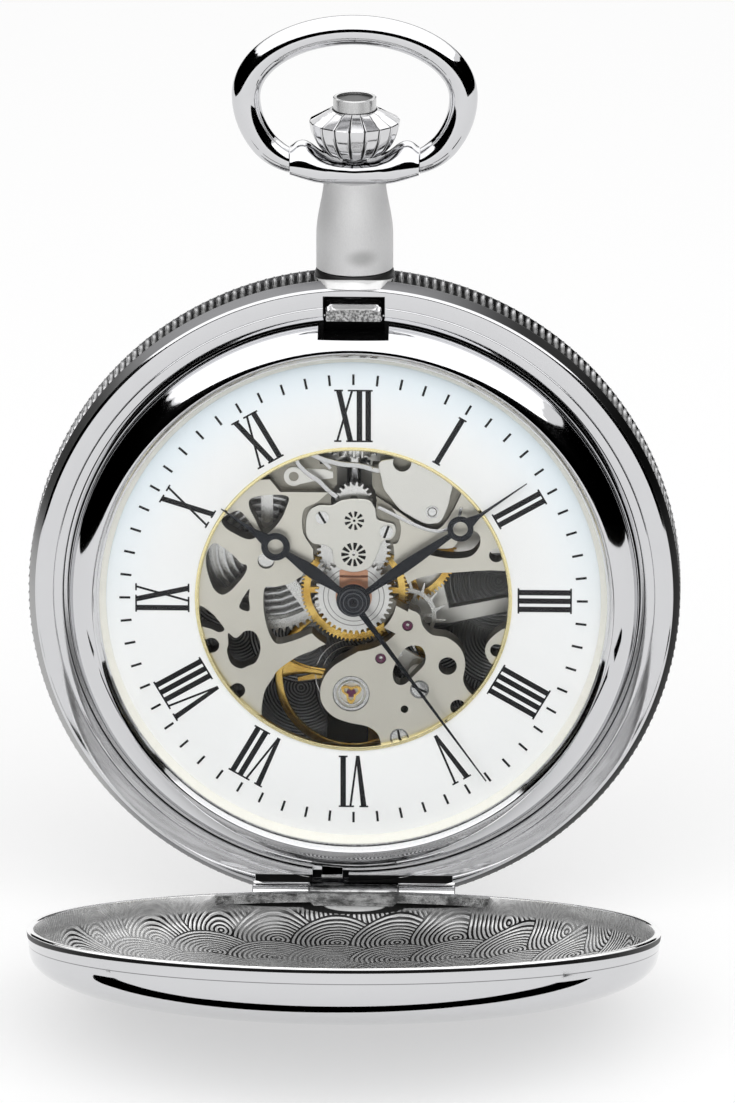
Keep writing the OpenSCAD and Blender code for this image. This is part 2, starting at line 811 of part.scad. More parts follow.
// Return spring under the button, wound round its rod
module button_spring() {
    turns = 2;
    rings = 8;
    low = button_floor + 0.16;
    high = button_floor + push - 0.01;
    r = 1.15;
    wire = 0.12;
    sides = 6;
    n = turns * rings;
    points = [for (i = [0:n], k = [0:sides - 1])
        let (a = 360 * i / rings, b = 360 * k / sides, d = r + wire * cos(b))
        [d * cos(a), low + (high - low) * i / n + wire * sin(b), d * sin(a)]];
    color("slategray") placed()
        polyhedron(points, tube_faces(n, sides));
}

module push_sleeve() {
    color("darkgray") placed()
        difference() {
            post(pend_bore_r - run_gap, sleeve_y, pin_y - 0.25);
            post(upper_stem_r + 0.1, sleeve_y - 1, pin_y);
        }
}

// Spring catch: a foot round the stem and a bevelled head above the lid seat
module front_catch() {
    color("darkgray") placed()
        difference() {
            union() {
                post(catch_foot_r, catch_foot_y, sleeve_y - 0.05);
                rotate([90, 0, 90])
                    translate([0, 0, -catch_w / 2])
                        linear_extrude(height = catch_w)
                            polygon([[catch_in_y, catch_low], [catch_out_y, catch_low],
                                [catch_out_y, seat_z + 0.15], [catch_out_y - 0.65, seat_z + 0.65],
                                [catch_in_y, seat_z + 0.65]]);
            }
            post(upper_stem_r + 0.12, catch_in_y - 1, case_r);
        }
}

// Dial and hands

module movement_ring() {
    color("gainsboro") placed()
        difference() {
            ring(bore_r - 0.02, plate_r, -1, plate_z, 180);
            post(upper_stem_r + run_gap, plate_r - 1, bore_r + 1);
        }
}

module case_screws() {
    color("lightsteelblue") placed()
        for (a = [20, 200]) {
            spot(polar(plate_r - 0.9, a))
                disc(screw_r, plate_back - 1, plate_back);
            spot(polar(plate_r - 0.9, a))
                disc(screw_head_r, plate_back - 1.3, plate_back - 1, 48);
        }
}

module dial() {
    color("white") placed()
        ring(bore_r - 0.05, dial_in_r, dial_z, neck_z, 180);
}

module dial_ring() {
    color("gold") placed()
        rotate_extrude($fn = 120)
            polygon([[dial_in_r - 0.1, dial_z + 0.02], [dial_in_r, dial_z + 0.02],
                [dial_in_r, neck_z], [dial_in_r - 0.1 + dial_ring_w, neck_z],
                [dial_in_r - 0.2 + dial_ring_w, neck_z + 0.1], [dial_in_r, neck_z + 0.1],
                [dial_in_r - 0.1, neck_z]]);
}

module flange_ring() {
    color("beige") placed()
        rotate_extrude($fn = 180)
            polygon([[flange_r, neck_z], [case_neck_r - 0.1, neck_z],
                [case_neck_r - 0.1, crystal_z - 0.17], [flange_r + 0.45, crystal_z - 0.17],
                [flange_r, neck_z + 0.15]]);
}

// A tapering hand with a pierced ring, its widths all following from its root
module hand_2d(length, ring_at, ring_r, hub_r, root_w) {
    neck_w = root_w * 0.66;
    tail_w = root_w * 0.7;
    difference() {
        union() {
            circle(r = hub_r, $fn = 48);
            polygon([[-root_w / 2, 0], [root_w / 2, 0],
                [neck_w / 2, ring_at - ring_r * 0.8], [-neck_w / 2, ring_at - ring_r * 0.8]]);
            translate([0, ring_at])
                circle(r = ring_r, $fn = 48);
            polygon([[-tail_w / 2, ring_at + ring_r * 0.8], [tail_w / 2, ring_at + ring_r * 0.8],
                [0.06, length], [-0.06, length]]);
        }
        translate([0, ring_at])
            circle(r = ring_r * 0.56, $fn = 48);
    }
}

module hour_hand() {
    color("darkslategray") placed()
        rotate(-hour_at)
            slab(hour_hand_z, hour_hand_z + hand_t)
                difference() {
                    hand_2d(hour_len, hour_ring_at, hour_ring_r, hand_hub_r, hour_hand_w);
                    circle(r = 0.95, $fn = 48);
                }
}

module minute_hand() {
    color("darkslategray") placed()
        rotate(-minute_at)
            slab(minute_hand_z, minute_hand_z + hand_t)
                difference() {
                    hand_2d(minute_len, minute_ring_at, minute_ring_r, hand_hub_r * 0.89, minute_hand_w);
                    circle(r = 0.65, $fn = 48);
                }
}

module second_hand() {
    color("darkslategray") placed() {
        rotate(-second_at)
            slab(second_hand_z, second_hand_z + hand_t)
                difference() {
                    union() {
                        circle(r = hand_hub_r * 0.78, $fn = 48);
                        polygon([[-0.28, 0], [0.28, 0], [0.05, second_len], [-0.05, second_len]]);
                    }
                    circle(r = 0.22, $fn = 32);
                }
        ring(0.45, 0.22, second_hand_z + hand_t, second_hand_z + hand_t + 0.15, 48);
    }
}

// Motion work

module hour_wheel() {
    color("silver") placed() {
        slab(hour_z, hour_z + wheel_t)
            difference() {
                gear_2d(40, hour_m, 0);
                circle(r = 0.8, $fn = 48);
            }
        ring(0.95, 0.8, hour_z, hour_hand_z + hand_t + 0.03, 48);
    }
}

module dial_washer() {
    color("peru") placed()
        ring(1.8, 1, hour_z + wheel_t, hour_z + wheel_t + 0.08, 48);
}

module cannon_pinion() {
    color("lightgray") placed() {
        slab(minute_z - 0.05, minute_z + 0.3)
            difference() {
                gear_2d(12, minute_m, 15);
                circle(r = 0.5, $fn = 48);
            }
        ring(0.74, 0.5, minute_z, minute_hand_z - 0.02, 48);
        ring(0.65, 0.5, minute_hand_z - 0.1, minute_hand_z + hand_t + 0.03, 48);
    }
}

module minute_wheel() {
    color("gold") placed()
        translate([0, minute_y, 0])
            difference() {
                union() {
                    slab(minute_z, minute_z + wheel_t)
                        gear_2d(36, minute_m, -90);
                    slab(minute_z + wheel_t - 0.01, minute_z + 0.65)
                        gear_2d(10, hour_m, -72);
                    disc(0.3, motion_z + 0.02, minute_z + 0.1, 24);
                    disc(pivot_r, minute_z + 0.6, plate_z - 0.02, 24);
                }
                disc(pivot_r + pivot_gap, motion_z - 1, motion_z + 0.1, 24);
            }
}

module minute_bridge() {
    color("gainsboro") placed()
        slab(plate_z - 0.25, plate_z - 0.05)
            difference() {
                union() {
                    polygon([[-2.6, 7.4], [-3.3, 7], [-3.7, 5.6], [-3.2, 4.4], [-2.4, 4.4],
                        [-1.6, 2.9], [1.6, 2.9], [2.5, 4.4], [3.2, 4.6], [3.3, 6],
                        [1.6, 8.9], [-1.5, 8.9]]);
                    translate([0, minute_y])
                        circle(r = 1.6, $fn = 48);
                }
                translate([0, minute_y])
                    circle(r = pivot_r + pivot_gap, $fn = 24);
                translate([-2.4, 6.4])
                    circle(r = screw_r, $fn = 24);
                translate([2.5, 5.3])
                    circle(r = screw_r, $fn = 24);
                translate([-0.9, 7.4])
                    square([1.8, 1.1]);
            }
}

module setting_wheel() {
    color("lightgray") placed()
        translate([0, setting_y, 0])
            difference() {
                slab(plate_back + 0.15, minute_z + wheel_t)
                    gear_2d(setting_teeth, setting_m, 180 / setting_teeth - 90);
                disc(0.3 + pivot_gap, 0, 4, 32);
            }
}

// Cover plate of the setting mechanism, with the tail of its spring
module setting_cover() {
    color("gainsboro") placed()
        slab(plate_z - 0.35, plate_z - 0.05)
            difference() {
                polygon([[1.9, 10.7], [4.6, 11.2], [7.6, 9.2], [7.3, 7.4], [6.6, 6],
                    [5.4, 5.9], [3.4, 7.1], [2.4, 8.6]]);
                translate([3.7, 10.8])
                    circle(r = 0.7, $fn = 32);
                translate([6, 6.9])
                    circle(r = screw_r, $fn = 24);
            }
}

// A toothed collar round the stem, with a gap towards the back
module sprocket(teeth, m, y0, y1) {
    translate([0, y0, 0])
        rotate([-90, 0, 0])
            linear_extrude(height = y1 - y0)
                gear_2d(teeth, m, 90 + 180 / teeth);
}

module winding_stem() {
    color("slategray") placed()
        difference() {
            union() {
                post(stem_r, stem_end_y, tube_y + 0.1);
                post(upper_stem_r, tube_y, button_floor);
            }
            post(rod_r + run_gap, slot_y - 0.4, crown_y + 2);
            translate([-2, slot_y - 0.1, -0.26])
                cube([4, push + 0.6, 0.52]);
            translate([stem_r - 0.12, stem_end_y - 1, -1])
                cube([1, winding_y - stem_end_y, 2]);
        }
}

module winding_pinion() {
    color("silver") placed()
        difference() {
            sprocket(winding_teeth, winder_m, winding_y, winding_y + winding_h);
            post(stem_r + run_gap, winding_y - 1, winding_y + winding_h + 1);
        }
}

module sliding_pinion() {
    color("silver") placed()
        difference() {
            union() {
                sprocket(11, winder_m, sliding_y, sliding_y + 0.35);
                post(0.8, sliding_y + 0.34, sliding_y + sliding_h - 0.34);
                sprocket(11, winder_m, sliding_y + sliding_h - 0.35, sliding_y + sliding_h);
            }
            post(stem_r + run_gap, sliding_y - 1, sliding_y + sliding_h + 1);
        }
}

lever_p = [5.6, 12.4];
yoke_p = [-4.6, 9.4];
lever_z = motion_z + 0.05;

module setting_lever() {
    color("lightgray") placed()
        translate([0, 0, lever_z])
            linear_extrude(height = 0.35)
                difference() {
                    union() {
                        translate(lever_p)
                            circle(r = 0.8, $fn = 32);
                        polygon([[5.3, 13.1], [1.4, 12.9], [1.2, 12.2], [5.4, 11.7]]);
                        polygon([[5.2, 12], [7, 9.8], [7.6, 10.2], [6.3, 12.2]]);
                    }
                    translate(lever_p)
                        circle(r = 0.35 + pivot_gap, $fn = 32);
                }
}

module yoke() {
    color("lightgray") placed()
        translate([0, 0, lever_z])
            linear_extrude(height = 0.35)
                difference() {
                    union() {
                        translate(yoke_p)
                            circle(r = 0.75, $fn = 32);
                        polygon([[-4.4, 8.75], [-2.4, 9.2], [-1.6, 9.3], [-1.6, 9.8],
                            [-2.2, 10], [-4.4, 10.05]]);
                    }
                    translate(yoke_p)
                        circle(r = 0.35 + pivot_gap, $fn = 32);
                }
}

module yoke_spring() {
    a0 = 40;
    a1 = 130;
    color("lightsteelblue") placed()
        slab(lever_z, lever_z + 0.35)
            union() {
                polygon(concat(
                    [for (i = [0:10]) polar(4.6, a0 + (a1 - a0) * i / 10) + [-5.2, 7.2]],
                    [for (i = [10:-1:0]) polar(4.35, a0 + (a1 - a0) * i / 10) + [-5.2, 7.2]]));
                difference() {
                    translate([-8.3, 10.2])
                        circle(r = 0.9, $fn = 32);
                    translate([-8.3, 10.2])
                        circle(r = screw_r, $fn = 24);
                }
            }
}

// Main plate

module plate_windows() {
    polygon([[-8, 7.4], [-7.7, 8], [-6.6, 8.1], [-4.9, 8.2], [-5.4, 6.6], [-6, 5.8], [-7, 5.4]]);
    polygon([[-10.2, 5.5], [-9.6, 6.7], [-9, 6.9], [-8.6, 6.2], [-7.3, 5], [-8, 4.7],
        [-9.3, 5.2]]);
    polygon([[-11.3, 2.2], [-10.1, 0.2], [-8.9, 1.1], [-8.3, 2], [-8.3, 2.5], [-9.3, 3.4],
        [-10.7, 4.3]]);
    polygon([[-8, 0.7], [-8.4, 0], [-8.8, -0.5], [-8.6, -0.9], [-8, -1.2]]);
    polygon([[-6.8, 0.8], [-5.7, 1], [-3.7, 2], [-3, 0], [-3, -3.2], [-4.3, -3.4],
        [-5.4, -3.7], [-6, -3.6], [-6.6, -2.8], [-7, -0.6]]);
    polygon([[-9.6, -3.3], [-8.7, -2.9], [-7.9, -2.8], [-7.3, -4], [-7.3, -4.9],
        [-7.9, -5.5], [-8.6, -5.8], [-9.3, -5.6], [-9.7, -4.5]]);
    polygon([[-5.7, -5.9], [-4.6, -5.2], [-3.4, -4.5], [-1.8, -3.5], [0.5, -4.4],
        [-1.7, -5.7], [-2.4, -6.6], [-2.6, -7.7], [-2.4, -8.9], [-1.7, -9.6], [-0.5, -10],
        [1.3, -10.4], [2, -11.3], [2.2, -12.4], [-3, -12.6], [-7, -10.6], [-7.1, -8.8],
        [-7, -7.7], [-6.3, -6.7], [-6.1, -6]]);
    polygon([[2.9, -5.8], [3.6, -4.2], [4.6, -3.7], [5.4, -4], [5.5, -5.2], [4.6, -6.2],
        [3.5, -7.2]]);
    polygon([[4.8, 1.5], [6.2, 1.9], [7.6, 2], [12.2, 1.9], [12.6, -2], [12.3, -4],
        [10.6, -7], [9, -8], [8.4, -6.7], [8.6, -5], [8, -3.6], [7.3, -3.2], [6.1, -2.9],
        [5.6, -2.4], [5.2, -1.6], [4.4, -0.9], [3.5, -0.4], [4, 0.6]]);
    polygon([[5.7, 3.3], [7.9, 3.4], [9.1, 3.5], [9.6, 4.3], [9.6, 5.3], [7.8, 5],
        [6.4, 4.6]]);
    polygon([[-2.6, 12.2], [2, 12.2], [2, 10.4], [-2.6, 10.4]]);
    polygon([[-1.3, 10.2], [1.4, 10.2], [1.4, 8.3], [-1.3, 8.3]]);
}

// Ring shaped opening round the centre, with two spokes to the hub
module centre_opening() {
    difference() {
        circle(r = 4.3, $fn = 96);
        circle(r = 1.8, $fn = 64);
        translate([-1.2, 0])
            square([2.4, 6]);
        rotate(-28)
            translate([0, -1])
                square([6, 2]);
    }
}

module main_plate() {
    holes = [[-10.9, -3.9, 0.65], [-8.9, -7.5, 0.6], [7.2, -5.4, 0.7], [3.9, -8.9, 0.3],
        [8, -8.7, 0.6], [10.9, 3.5, 0.6]];
    color("lightgoldenrodyellow") placed()
        difference() {
            union() {
                slab(plate_back, plate_z)
                    difference() {
                        circle(r = plate_r - 0.03, $fn = 180);
                        plate_windows();
                        centre_opening();
                        for (h = holes)
                            translate([h[0], h[1]])
                                circle(r = h[2], $fn = 32);
                    }
                for (p = concat(barrel_feet, train_feet, [cock_foot]))
                    spot(p)
                        disc(foot_r, bridge_z, plate_back + 0.1, 48);
                for (p = pallet_feet)
                    spot(p)
                        disc(0.8, escape_z - 0.35, plate_back + 0.1, 32);
                difference() {
                    translate([-2.6, winding_y + winding_h + 0.6, -1.1])
                        cube([5.2, plate_r, plate_back + 1.2]);
                    translate([-3, plate_r - 1.1, -3])
                        cube([6, plate_r, 6]);
                }
            }
            disc(3.3, motion_z, plate_z + 1);
            translate([0, minute_y, 0])
                disc(3.1, motion_z, plate_z + 1);
            translate([0, setting_y, 0])
                disc(1.75, plate_back - 1, plate_z + 1, 64);
            slab(plate_z - 0.4, plate_z + 1)
                polygon([[-3.8, 7.5], [-3.9, 5.4], [-3.3, 4.2], [-2, 2.8], [2, 2.8],
                    [2.6, 4.2], [3.4, 4.5], [3.5, 6.2], [1.8, 9], [-1.6, 9]]);
            slab(lever_z - 0.05, plate_z + 1)
                polygon([[1.2, 8.5], [3.3, 7], [5.3, 5.7], [6.8, 5.8], [8.4, 8.9], [8.2, 11],
                    [6.8, 13.4], [0.9, 13.6], [0.9, 11.6], [1.7, 10.6], [1.2, 10.4]]);
            slab(lever_z - 0.05, plate_z + 1)
                polygon([[-1, 11.9], [-1, 8.4], [-5.6, 8.4], [-6.4, 9.4], [-9.4, 9.2],
                    [-9.4, 11.2], [-7, 12.3], [-2, 12.3]]);
            post(stem_r + run_gap, 8, plate_r + 1);
            disc(0.75 + run_gap, 0, plate_z + 1, 48);
            spot([third_x, third_y])
                disc(jewel_r, 0, plate_back + 0.6, 32);
            spot([escape_x, escape_y])
                disc(jewel_r, 0, plate_z + 1, 32);
            spot([pallet_x, pallet_y])
                disc(jewel_r, 0, plate_z + 1, 32);
            spot([balance_x, balance_y])
                disc(1.4, plate_z - 0.5, plate_z + 1, 48);
            spot([balance_x, balance_y])
                disc(0.6, plate_back - 1, plate_z, 32);
            spot([barrel_x, barrel_y])
                disc(0.6 + run_gap, 0, plate_z + 1, 32);
            for (p = concat(barrel_feet, train_feet, [cock_foot], pallet_feet))
                spot(p)
                    disc(screw_r, cock_z - 1, plate_back, 24);
            for (a = [20, 200])
                spot(polar(plate_r - 0.9, a))
                    disc(screw_r, plate_back - 1, plate_back + 0.01, 24);
            for (p = [[5.05, -7.3], [3.5, -11.2]])
                spot(p)
                    disc(screw_head_r + 0.03, plate_z - 0.35, plate_z + 1, 32);
        }
    color("lightgoldenrodyellow") placed() {
        translate([0, setting_y, 0])
            disc(0.3, plate_back - 0.3, minute_z + wheel_t, 32);
        translate([-1.9, setting_y - 0.35, plate_back - 0.3])
            cube([3.8, 0.7, 0.32]);
        spot([0, minute_y])
            disc(pivot_r, motion_z - 0.1, motion_z + 0.1, 24);
        spot(lever_p)
            disc(0.35, lever_z - 0.1, lever_z + 0.35, 32);
        spot(yoke_p)
            disc(0.35, lever_z - 0.1, lever_z + 0.35, 32);
    }
}

// Barrel and winding wheels

module barrel() {
    color("gainsboro") placed()
        spot([barrel_x, barrel_y])
            difference() {
                union() {
                    disc(barrel_m * barrel_teeth / 2 - 0.42, barrel_bottom, barrel_top);
                    slab(barrel_top - barrel_flange, barrel_top)
                        gear_2d(barrel_teeth, barrel_m, atan2(-barrel_y, -barrel_x));
                }
                disc(5.75, barrel_bottom + 0.2, barrel_top - 0.2);
                slab(barrel_top - 0.3, barrel_top + 1)
                    difference() {
                        circle(r = 5.5, $fn = 96);
                        circle(r = 1.5, $fn = 48);
                        for (i = [0:4])
                            rotate(72 * i + 18)
                                translate([0, -0.45])
                                    square([6, 0.9]);
                    }
                disc(0.6 + run_gap, barrel_bottom - 1, barrel_top + 1, 32);
            }
}

module mainspring() {
    color("lightsteelblue") placed()
        spot([barrel_x, barrel_y])
            slab(barrel_bottom + 0.25, barrel_top - 0.25)
                polygon(spiral(1.3, main_pitch, main_turns, 0.14, 24));
}

module barrel_arbor() {
    color("silver") placed()
        spot([barrel_x, barrel_y]) {
            disc(0.6, winder_z + 0.3, plate_z - 0.3, 32);
            disc(1.1, barrel_bottom + 0.25, barrel_top - 0.35, 32);
        }
}

module ratchet_wheel() {
    color("silver") placed()
        spot([barrel_x, barrel_y])
            slab(winder_z - 0.4, winder_z)
                difference() {
                    gear_2d(ratchet_teeth, winder_m, atan2(crown_wheel_y - barrel_y, -barrel_x));
                    circle(r = 0.6, $fn = 32);
                }
}

module crown_wheel() {
    a = atan2(barrel_y - crown_wheel_y, barrel_x);
    color("silver") placed()
        spot([0, crown_wheel_y])
            difference() {
                slab(winder_z - 0.4, winder_z)
                    gear_2d(crown_wheel_teeth, winder_m, a + 180 / crown_wheel_teeth);
                disc(0.8, winder_z - 1, winder_z + 1, 32);
            }
}

click_p = [-13.6, 6.2];

// Click with its own curved spring
module click() {
    color("lightsteelblue") placed()
        slab(winder_z - 0.4, winder_z - 0.05)
            difference() {
                union() {
                    translate(click_p)
                        circle(r = 0.8, $fn = 32);
                    polygon([click_p + [0.2, 0.75], click_p + [0, -0.75],
                        click_p + [1.45, -0.55], click_p + [1.55, -0.2]]);
                }
                translate(click_p)
                    circle(r = 0.4 + pivot_gap, $fn = 32);
            }
}

module barrel_side() {
    polygon([[4.3, bridge_r], [4.3, 5.6], [0.9, 3.1], [-1.9, 0.8], [-4.6, -1.6], [-7, -2.4],
        [-bridge_r, -2.4], [-bridge_r, bridge_r]]);
}

module barrel_bridge() {
    color("lightgray") placed()
        difference() {
            slab(bridge_back, bridge_z)
                intersection() {
                    circle(r = bridge_r, $fn = 180);
                    barrel_side();
                }
            spot([barrel_x, barrel_y])
                disc(winder_m * (ratchet_teeth / 2 + 1) + 0.15, bridge_back - 1, winder_z + 0.05);
            spot([0, crown_wheel_y])
                disc(winder_m * (crown_wheel_teeth / 2 + 1) + 0.15, bridge_back - 1,
                    winder_z + 0.05);
            slab(bridge_back - 1, winder_z + 0.05)
                polygon([click_p + [-1, -1.1], click_p + [-1, 1.1], click_p + [1, 1.2],
                    click_p + [2.6, 0], click_p + [2.2, -1.2]]);
            spot([barrel_x, barrel_y])
                disc(0.6 + run_gap, bridge_back - 1, bridge_z + 1, 32);
            translate([-2.4, winding_y - 0.15, bridge_back - 1])
                cube([4.8, winding_h + 0.3, 3]);
            for (p = barrel_feet)
                spot(p)
                    disc(screw_r, bridge_back - 1, bridge_z + 1, 24);
        }
    color("lightgray") placed() {
        spot([0, crown_wheel_y])
            disc(0.75, winder_z - 0.4, winder_z + 0.1, 32);
        spot(click_p)
            disc(0.4, winder_z - 0.4, winder_z + 0.1, 32);
    }
}

module train_side() {
    polygon([[4.6, bridge_r], [4.6, 5.4], [1.1, 2.8], [-1.7, 0.5], [-1.4, -1.35],
        [3.4, -3.3], [7.2, -3.3], [12.2, -2.2], [14.6, -4.9], [bridge_r, -4.9],
        [bridge_r, bridge_r]]);
}

module train_bridge() {
    color("lightgray") placed()
        difference() {
            slab(bridge_back, bridge_z)
                difference() {
                    intersection() {
                        circle(r = bridge_r, $fn = 180);
                        train_side();
                    }
                    translate([balance_x, balance_y])
                        circle(r = balance_r + 0.35, $fn = 96);
                    polygon([[6.2, 2.2], [12.2, 2.4], [12.6, -1], [7.2, -2.1]]);
                }
            for (p = [[0, 0], [third_x, third_y], [escape_x, escape_y]])
                spot(p)
                    disc(jewel_r, bridge_back - 1, bridge_z + 1, 32);
            for (p = train_feet)
                spot(p)
                    disc(screw_r, bridge_back - 1, bridge_z + 1, 24);
        }
}

// Going train

module center_wheel() {
    color("gold") placed() {
        slab(center_z, center_z + wheel_t)
            difference() {
                wheel_2d(centre_teeth, center_m, 0.5, 1.1, 4, 0.45, third_a);
                circle(r = 0.42, $fn = 32);
            }
        ring(0.5, 0.36, center_z, minute_hand_z + hand_t, 32);
        slab(barrel_top - barrel_flange - 0.15, center_z + 0.01)
            difference() {
                gear_2d(centre_pinion_teeth, barrel_m,
                    atan2(barrel_y, barrel_x) + 180 / centre_pinion_teeth);
                circle(r = 0.36, $fn = 32);
            }
    }
}

module third_wheel() {
    color("gold") placed()
        spot([third_x, third_y]) {
            slab(third_z - wheel_t, third_z)
                wheel_2d(third_teeth, third_m, 0.45, 0.9, 5, 0.4, third_a + 180);
            slab(third_z - 0.01, center_z + wheel_t + 0.1)
                gear_2d(10, center_m, third_a + 180 + 18);
            arbor(0.25, bridge_z + 0.1, plate_back - 0.05, bridge_back + 0.2, plate_back + 0.3);
        }
}

module fourth_wheel() {
    color("gold") placed() {
        slab(fourth_z, fourth_z + wheel_t)
            wheel_2d(fourth_teeth, fourth_m, 0.45, 0.9, 5, 0.4, escape_a);
        slab(fourth_z + wheel_t - 0.01, third_z + 0.1)
            gear_2d(10, third_m, third_a + 18);
        disc(0.22, bridge_z + 0.05, second_hand_z + hand_t + 0.1, 32);
        disc(pivot_r, bridge_back + 0.2, bridge_z + 0.06, 24);
    }
}

module escape_wheel() {
    r = escape_r;
    color("gainsboro") placed()
        spot([escape_x, escape_y]) {
            slab(escape_z, escape_z + wheel_t) {
                difference() {
                    polygon([for (i = [0:14], k = [0:3])
                        polar([r - 0.75, r, r, r - 0.75][k],
                            24 * i + [0, 7, 8.5, 6.5][k] + 9)]);
                    circle(r = r - 1.1, $fn = 64);
                }
                circle(r = 0.6, $fn = 32);
                for (i = [0:4])
                    rotate(72 * i)
                        translate([0, -0.12])
                            square([r - 0.9, 0.24]);
            }
            slab(fourth_z - 0.05, fourth_z + wheel_t + 0.1)
                gear_2d(8, fourth_m, escape_a + 180 + 22.5);
            arbor(0.2, bridge_z + 0.1, plate_back - 0.05, bridge_back + 0.2, plate_z - 0.3);
        }
}

pallet_a = atan2(balance_y - pallet_y, balance_x - pallet_x);

// Anchor with two arms to the escape wheel and a lever to the balance
module pallet_fork() {
    color("silver") placed()
        spot([pallet_x, pallet_y]) {
            rotate(pallet_a)
                slab(escape_z - 0.02, escape_z + wheel_t)
                    union() {
                        circle(r = 0.45, $fn = 32);
                        polygon([[0, -0.25], [0, 0.25], [2.1, 0.14], [2.1, -0.14]]);
                        polygon([[2, -0.3], [2, 0.3], [2.75, 0.3], [2.75, 0.17], [2.35, 0.14],
                            [2.35, -0.14], [2.75, -0.17], [2.75, -0.3]]);
                        polygon([[0.2, -0.3], [-0.2, -0.3], [-0.75, -1.45], [-0.45, -1.6]]);
                        polygon([[0.2, 0.3], [-0.2, 0.3], [-0.75, 1.45], [-0.45, 1.6]]);
                    }
            arbor(0.18, escape_z - 0.2, plate_back - 0.05, escape_z - 0.4, plate_z - 0.3);
        }
}

module pallet_bridge() {
    color("lightgray") placed()
        slab(escape_z - 0.6, escape_z - 0.35)
            difference() {
                hull() {
                    translate([pallet_x, pallet_y])
                        circle(r = 0.7, $fn = 32);
                    translate(pallet_feet[0])
                        circle(r = 0.8, $fn = 32);
                }
                translate([pallet_x, pallet_y])
                    circle(r = pivot_r + pivot_gap, $fn = 24);
                translate(pallet_feet[0])
                    circle(r = screw_r, $fn = 24);
            }
}

module balance_wheel() {
    color("gold") placed()
        spot([balance_x, balance_y]) {
            ring(balance_r, balance_r - 0.6, balance_z, balance_z + 0.4);
            slab(balance_z + 0.1, balance_z + 0.3) {
                circle(r = 1, $fn = 48);
                for (a = [52, 172, 292])
                    rotate(a)
                        translate([0, -0.4])
                            square([balance_r - 0.3, 0.8]);
            }
            arbor(0.2, cock_front + 0.15, plate_back - 0.05, cock_front - 0.1,
                plate_z - 0.65);
            disc(0.5, balance_z - 0.35, balance_z + 0.1, 32);
            disc(0.75, escape_z + 0.25, escape_z + 0.5, 32);
        }
}

// Outer turn ends at the cock, inner turn stops just clear of the collet
module balance_spring() {
    color("steelblue") placed()
        spot([balance_x, balance_y])
            slab(bridge_back + 0.02, bridge_back + 0.22)
                polygon(spiral(0.62, hair_pitch, hair_turns, 0.07, 24));
}

module balance_cock() {
    color("lightgray") placed()
        difference() {
            union() {
                slab(cock_z, cock_front)
                    hull() {
                        translate([balance_x, balance_y])
                            circle(r = 1.9, $fn = 32);
                        translate(cock_foot)
                            circle(r = cock_foot_r, $fn = 32);
                    }
                spot(cock_foot)
                    disc(cock_foot_r - 0.1, cock_front - 0.1, bridge_z, 48);
                spot([balance_x + hair_turns * hair_pitch + 0.9, balance_y])
                    disc(0.3, cock_z, bridge_back + 0.3, 24);
                slab(cock_z, cock_front)
                    translate([balance_x, balance_y - 0.5])
                        square([hair_turns * hair_pitch + 0.9, 1]);
            }
            spot([balance_x, balance_y])
                disc(pivot_r + pivot_gap, cock_z - 1, cock_front + 1, 24);
            spot(cock_foot)
                disc(screw_r, cock_z - 1, bridge_z + 1, 24);
        }
}

module regulator() {
    color("gold") placed()
        spot([balance_x, balance_y])
            slab(cock_z - 0.2, cock_z - 0.02)
                difference() {
                    union() {
                        circle(r = 1.3, $fn = 48);
                        rotate(192)
                            polygon([[0, -0.4], [4.4, -0.14], [4.4, 0.14], [0, 0.4]]);
                    }
                    circle(r = 0.7, $fn = 32);
                }
}

module jewel(p, z0, z1) {
    spot(p)
        ring(jewel_r, pivot_r + pivot_gap, z0, z1, 32);
}

module jewels() {
    color("crimson") placed() {
        jewel([escape_x, escape_y], plate_z - 0.45, plate_z - 0.1);
        jewel([pallet_x, pallet_y], plate_z - 0.45, plate_z - 0.1);
        jewel([third_x, third_y], plate_back + 0.1, plate_back + 0.45);
        for (p = [[0, 0], [third_x, third_y], [escape_x, escape_y]])
            jewel(p, bridge_back + 0.15, bridge_back + 0.5);
        spot([balance_x, balance_y])
            ring(1.4, pivot_r + pivot_gap, plate_z - 0.5, plate_z - 0.05, 48);
        spot([balance_x, balance_y])
            ring(0.68, pivot_r + pivot_gap, cock_z - 0.25, cock_z, 32);
    }
}

module screw_back(p, top) {
    spot(p) {
        disc(screw_head_r, top - screw_head_t, top, 32);
        disc(screw_r, top - 0.01, top + 1.6, 24);
    }
}

module movement_screws() {
    color("lightsteelblue") placed() {
        for (p = concat(barrel_feet, train_feet))
            screw_back(p, bridge_back);
        screw_back(cock_foot, cock_z);
        screw_back(pallet_feet[0], escape_z - 0.6);
        for (p = [[5.05, -7.3], [3.5, -11.2]])
            spot(p)
                disc(screw_head_r, plate_z - 0.35, plate_z - 0.05, 32);
        for (p = [[-2.4, 6.4], [2.5, 5.3]]) {
            spot(p)
                disc(0.5, plate_z - 0.05, plate_z + 0.1, 32);
            spot(p)
                disc(screw_r, plate_z - 0.4, plate_z, 24);
        }
    }
}

case_middle();
front_bezel();
front_crystal();
front_cover();
front_hinge_pin();
rear_bezel();
rear_crystal();
rear_cover();
rear_hinge_pin();
pendant_neck();
bow();
crown();
crown_gasket();
push_button();
button_spring();
push_sleeve();
front_catch();
lift_spring();
movement_ring();
case_screws();
dial();
dial_ring();
flange_ring();
hour_hand();
minute_hand();
second_hand();
hour_wheel();
dial_washer();
cannon_pinion();
minute_wheel();
minute_bridge();
setting_wheel();
setting_cover();
winding_stem();
winding_pinion();
sliding_pinion();
setting_lever();
yoke();
yoke_spring();
main_plate();
barrel();
mainspring();
barrel_arbor();
ratchet_wheel();
crown_wheel();
click();
barrel_bridge();
train_bridge();
center_wheel();
third_wheel();
fourth_wheel();
escape_wheel();
pallet_fork();
pallet_bridge();
balance_wheel();
balance_spring();
balance_cock();
regulator();
jewels();
movement_screws();
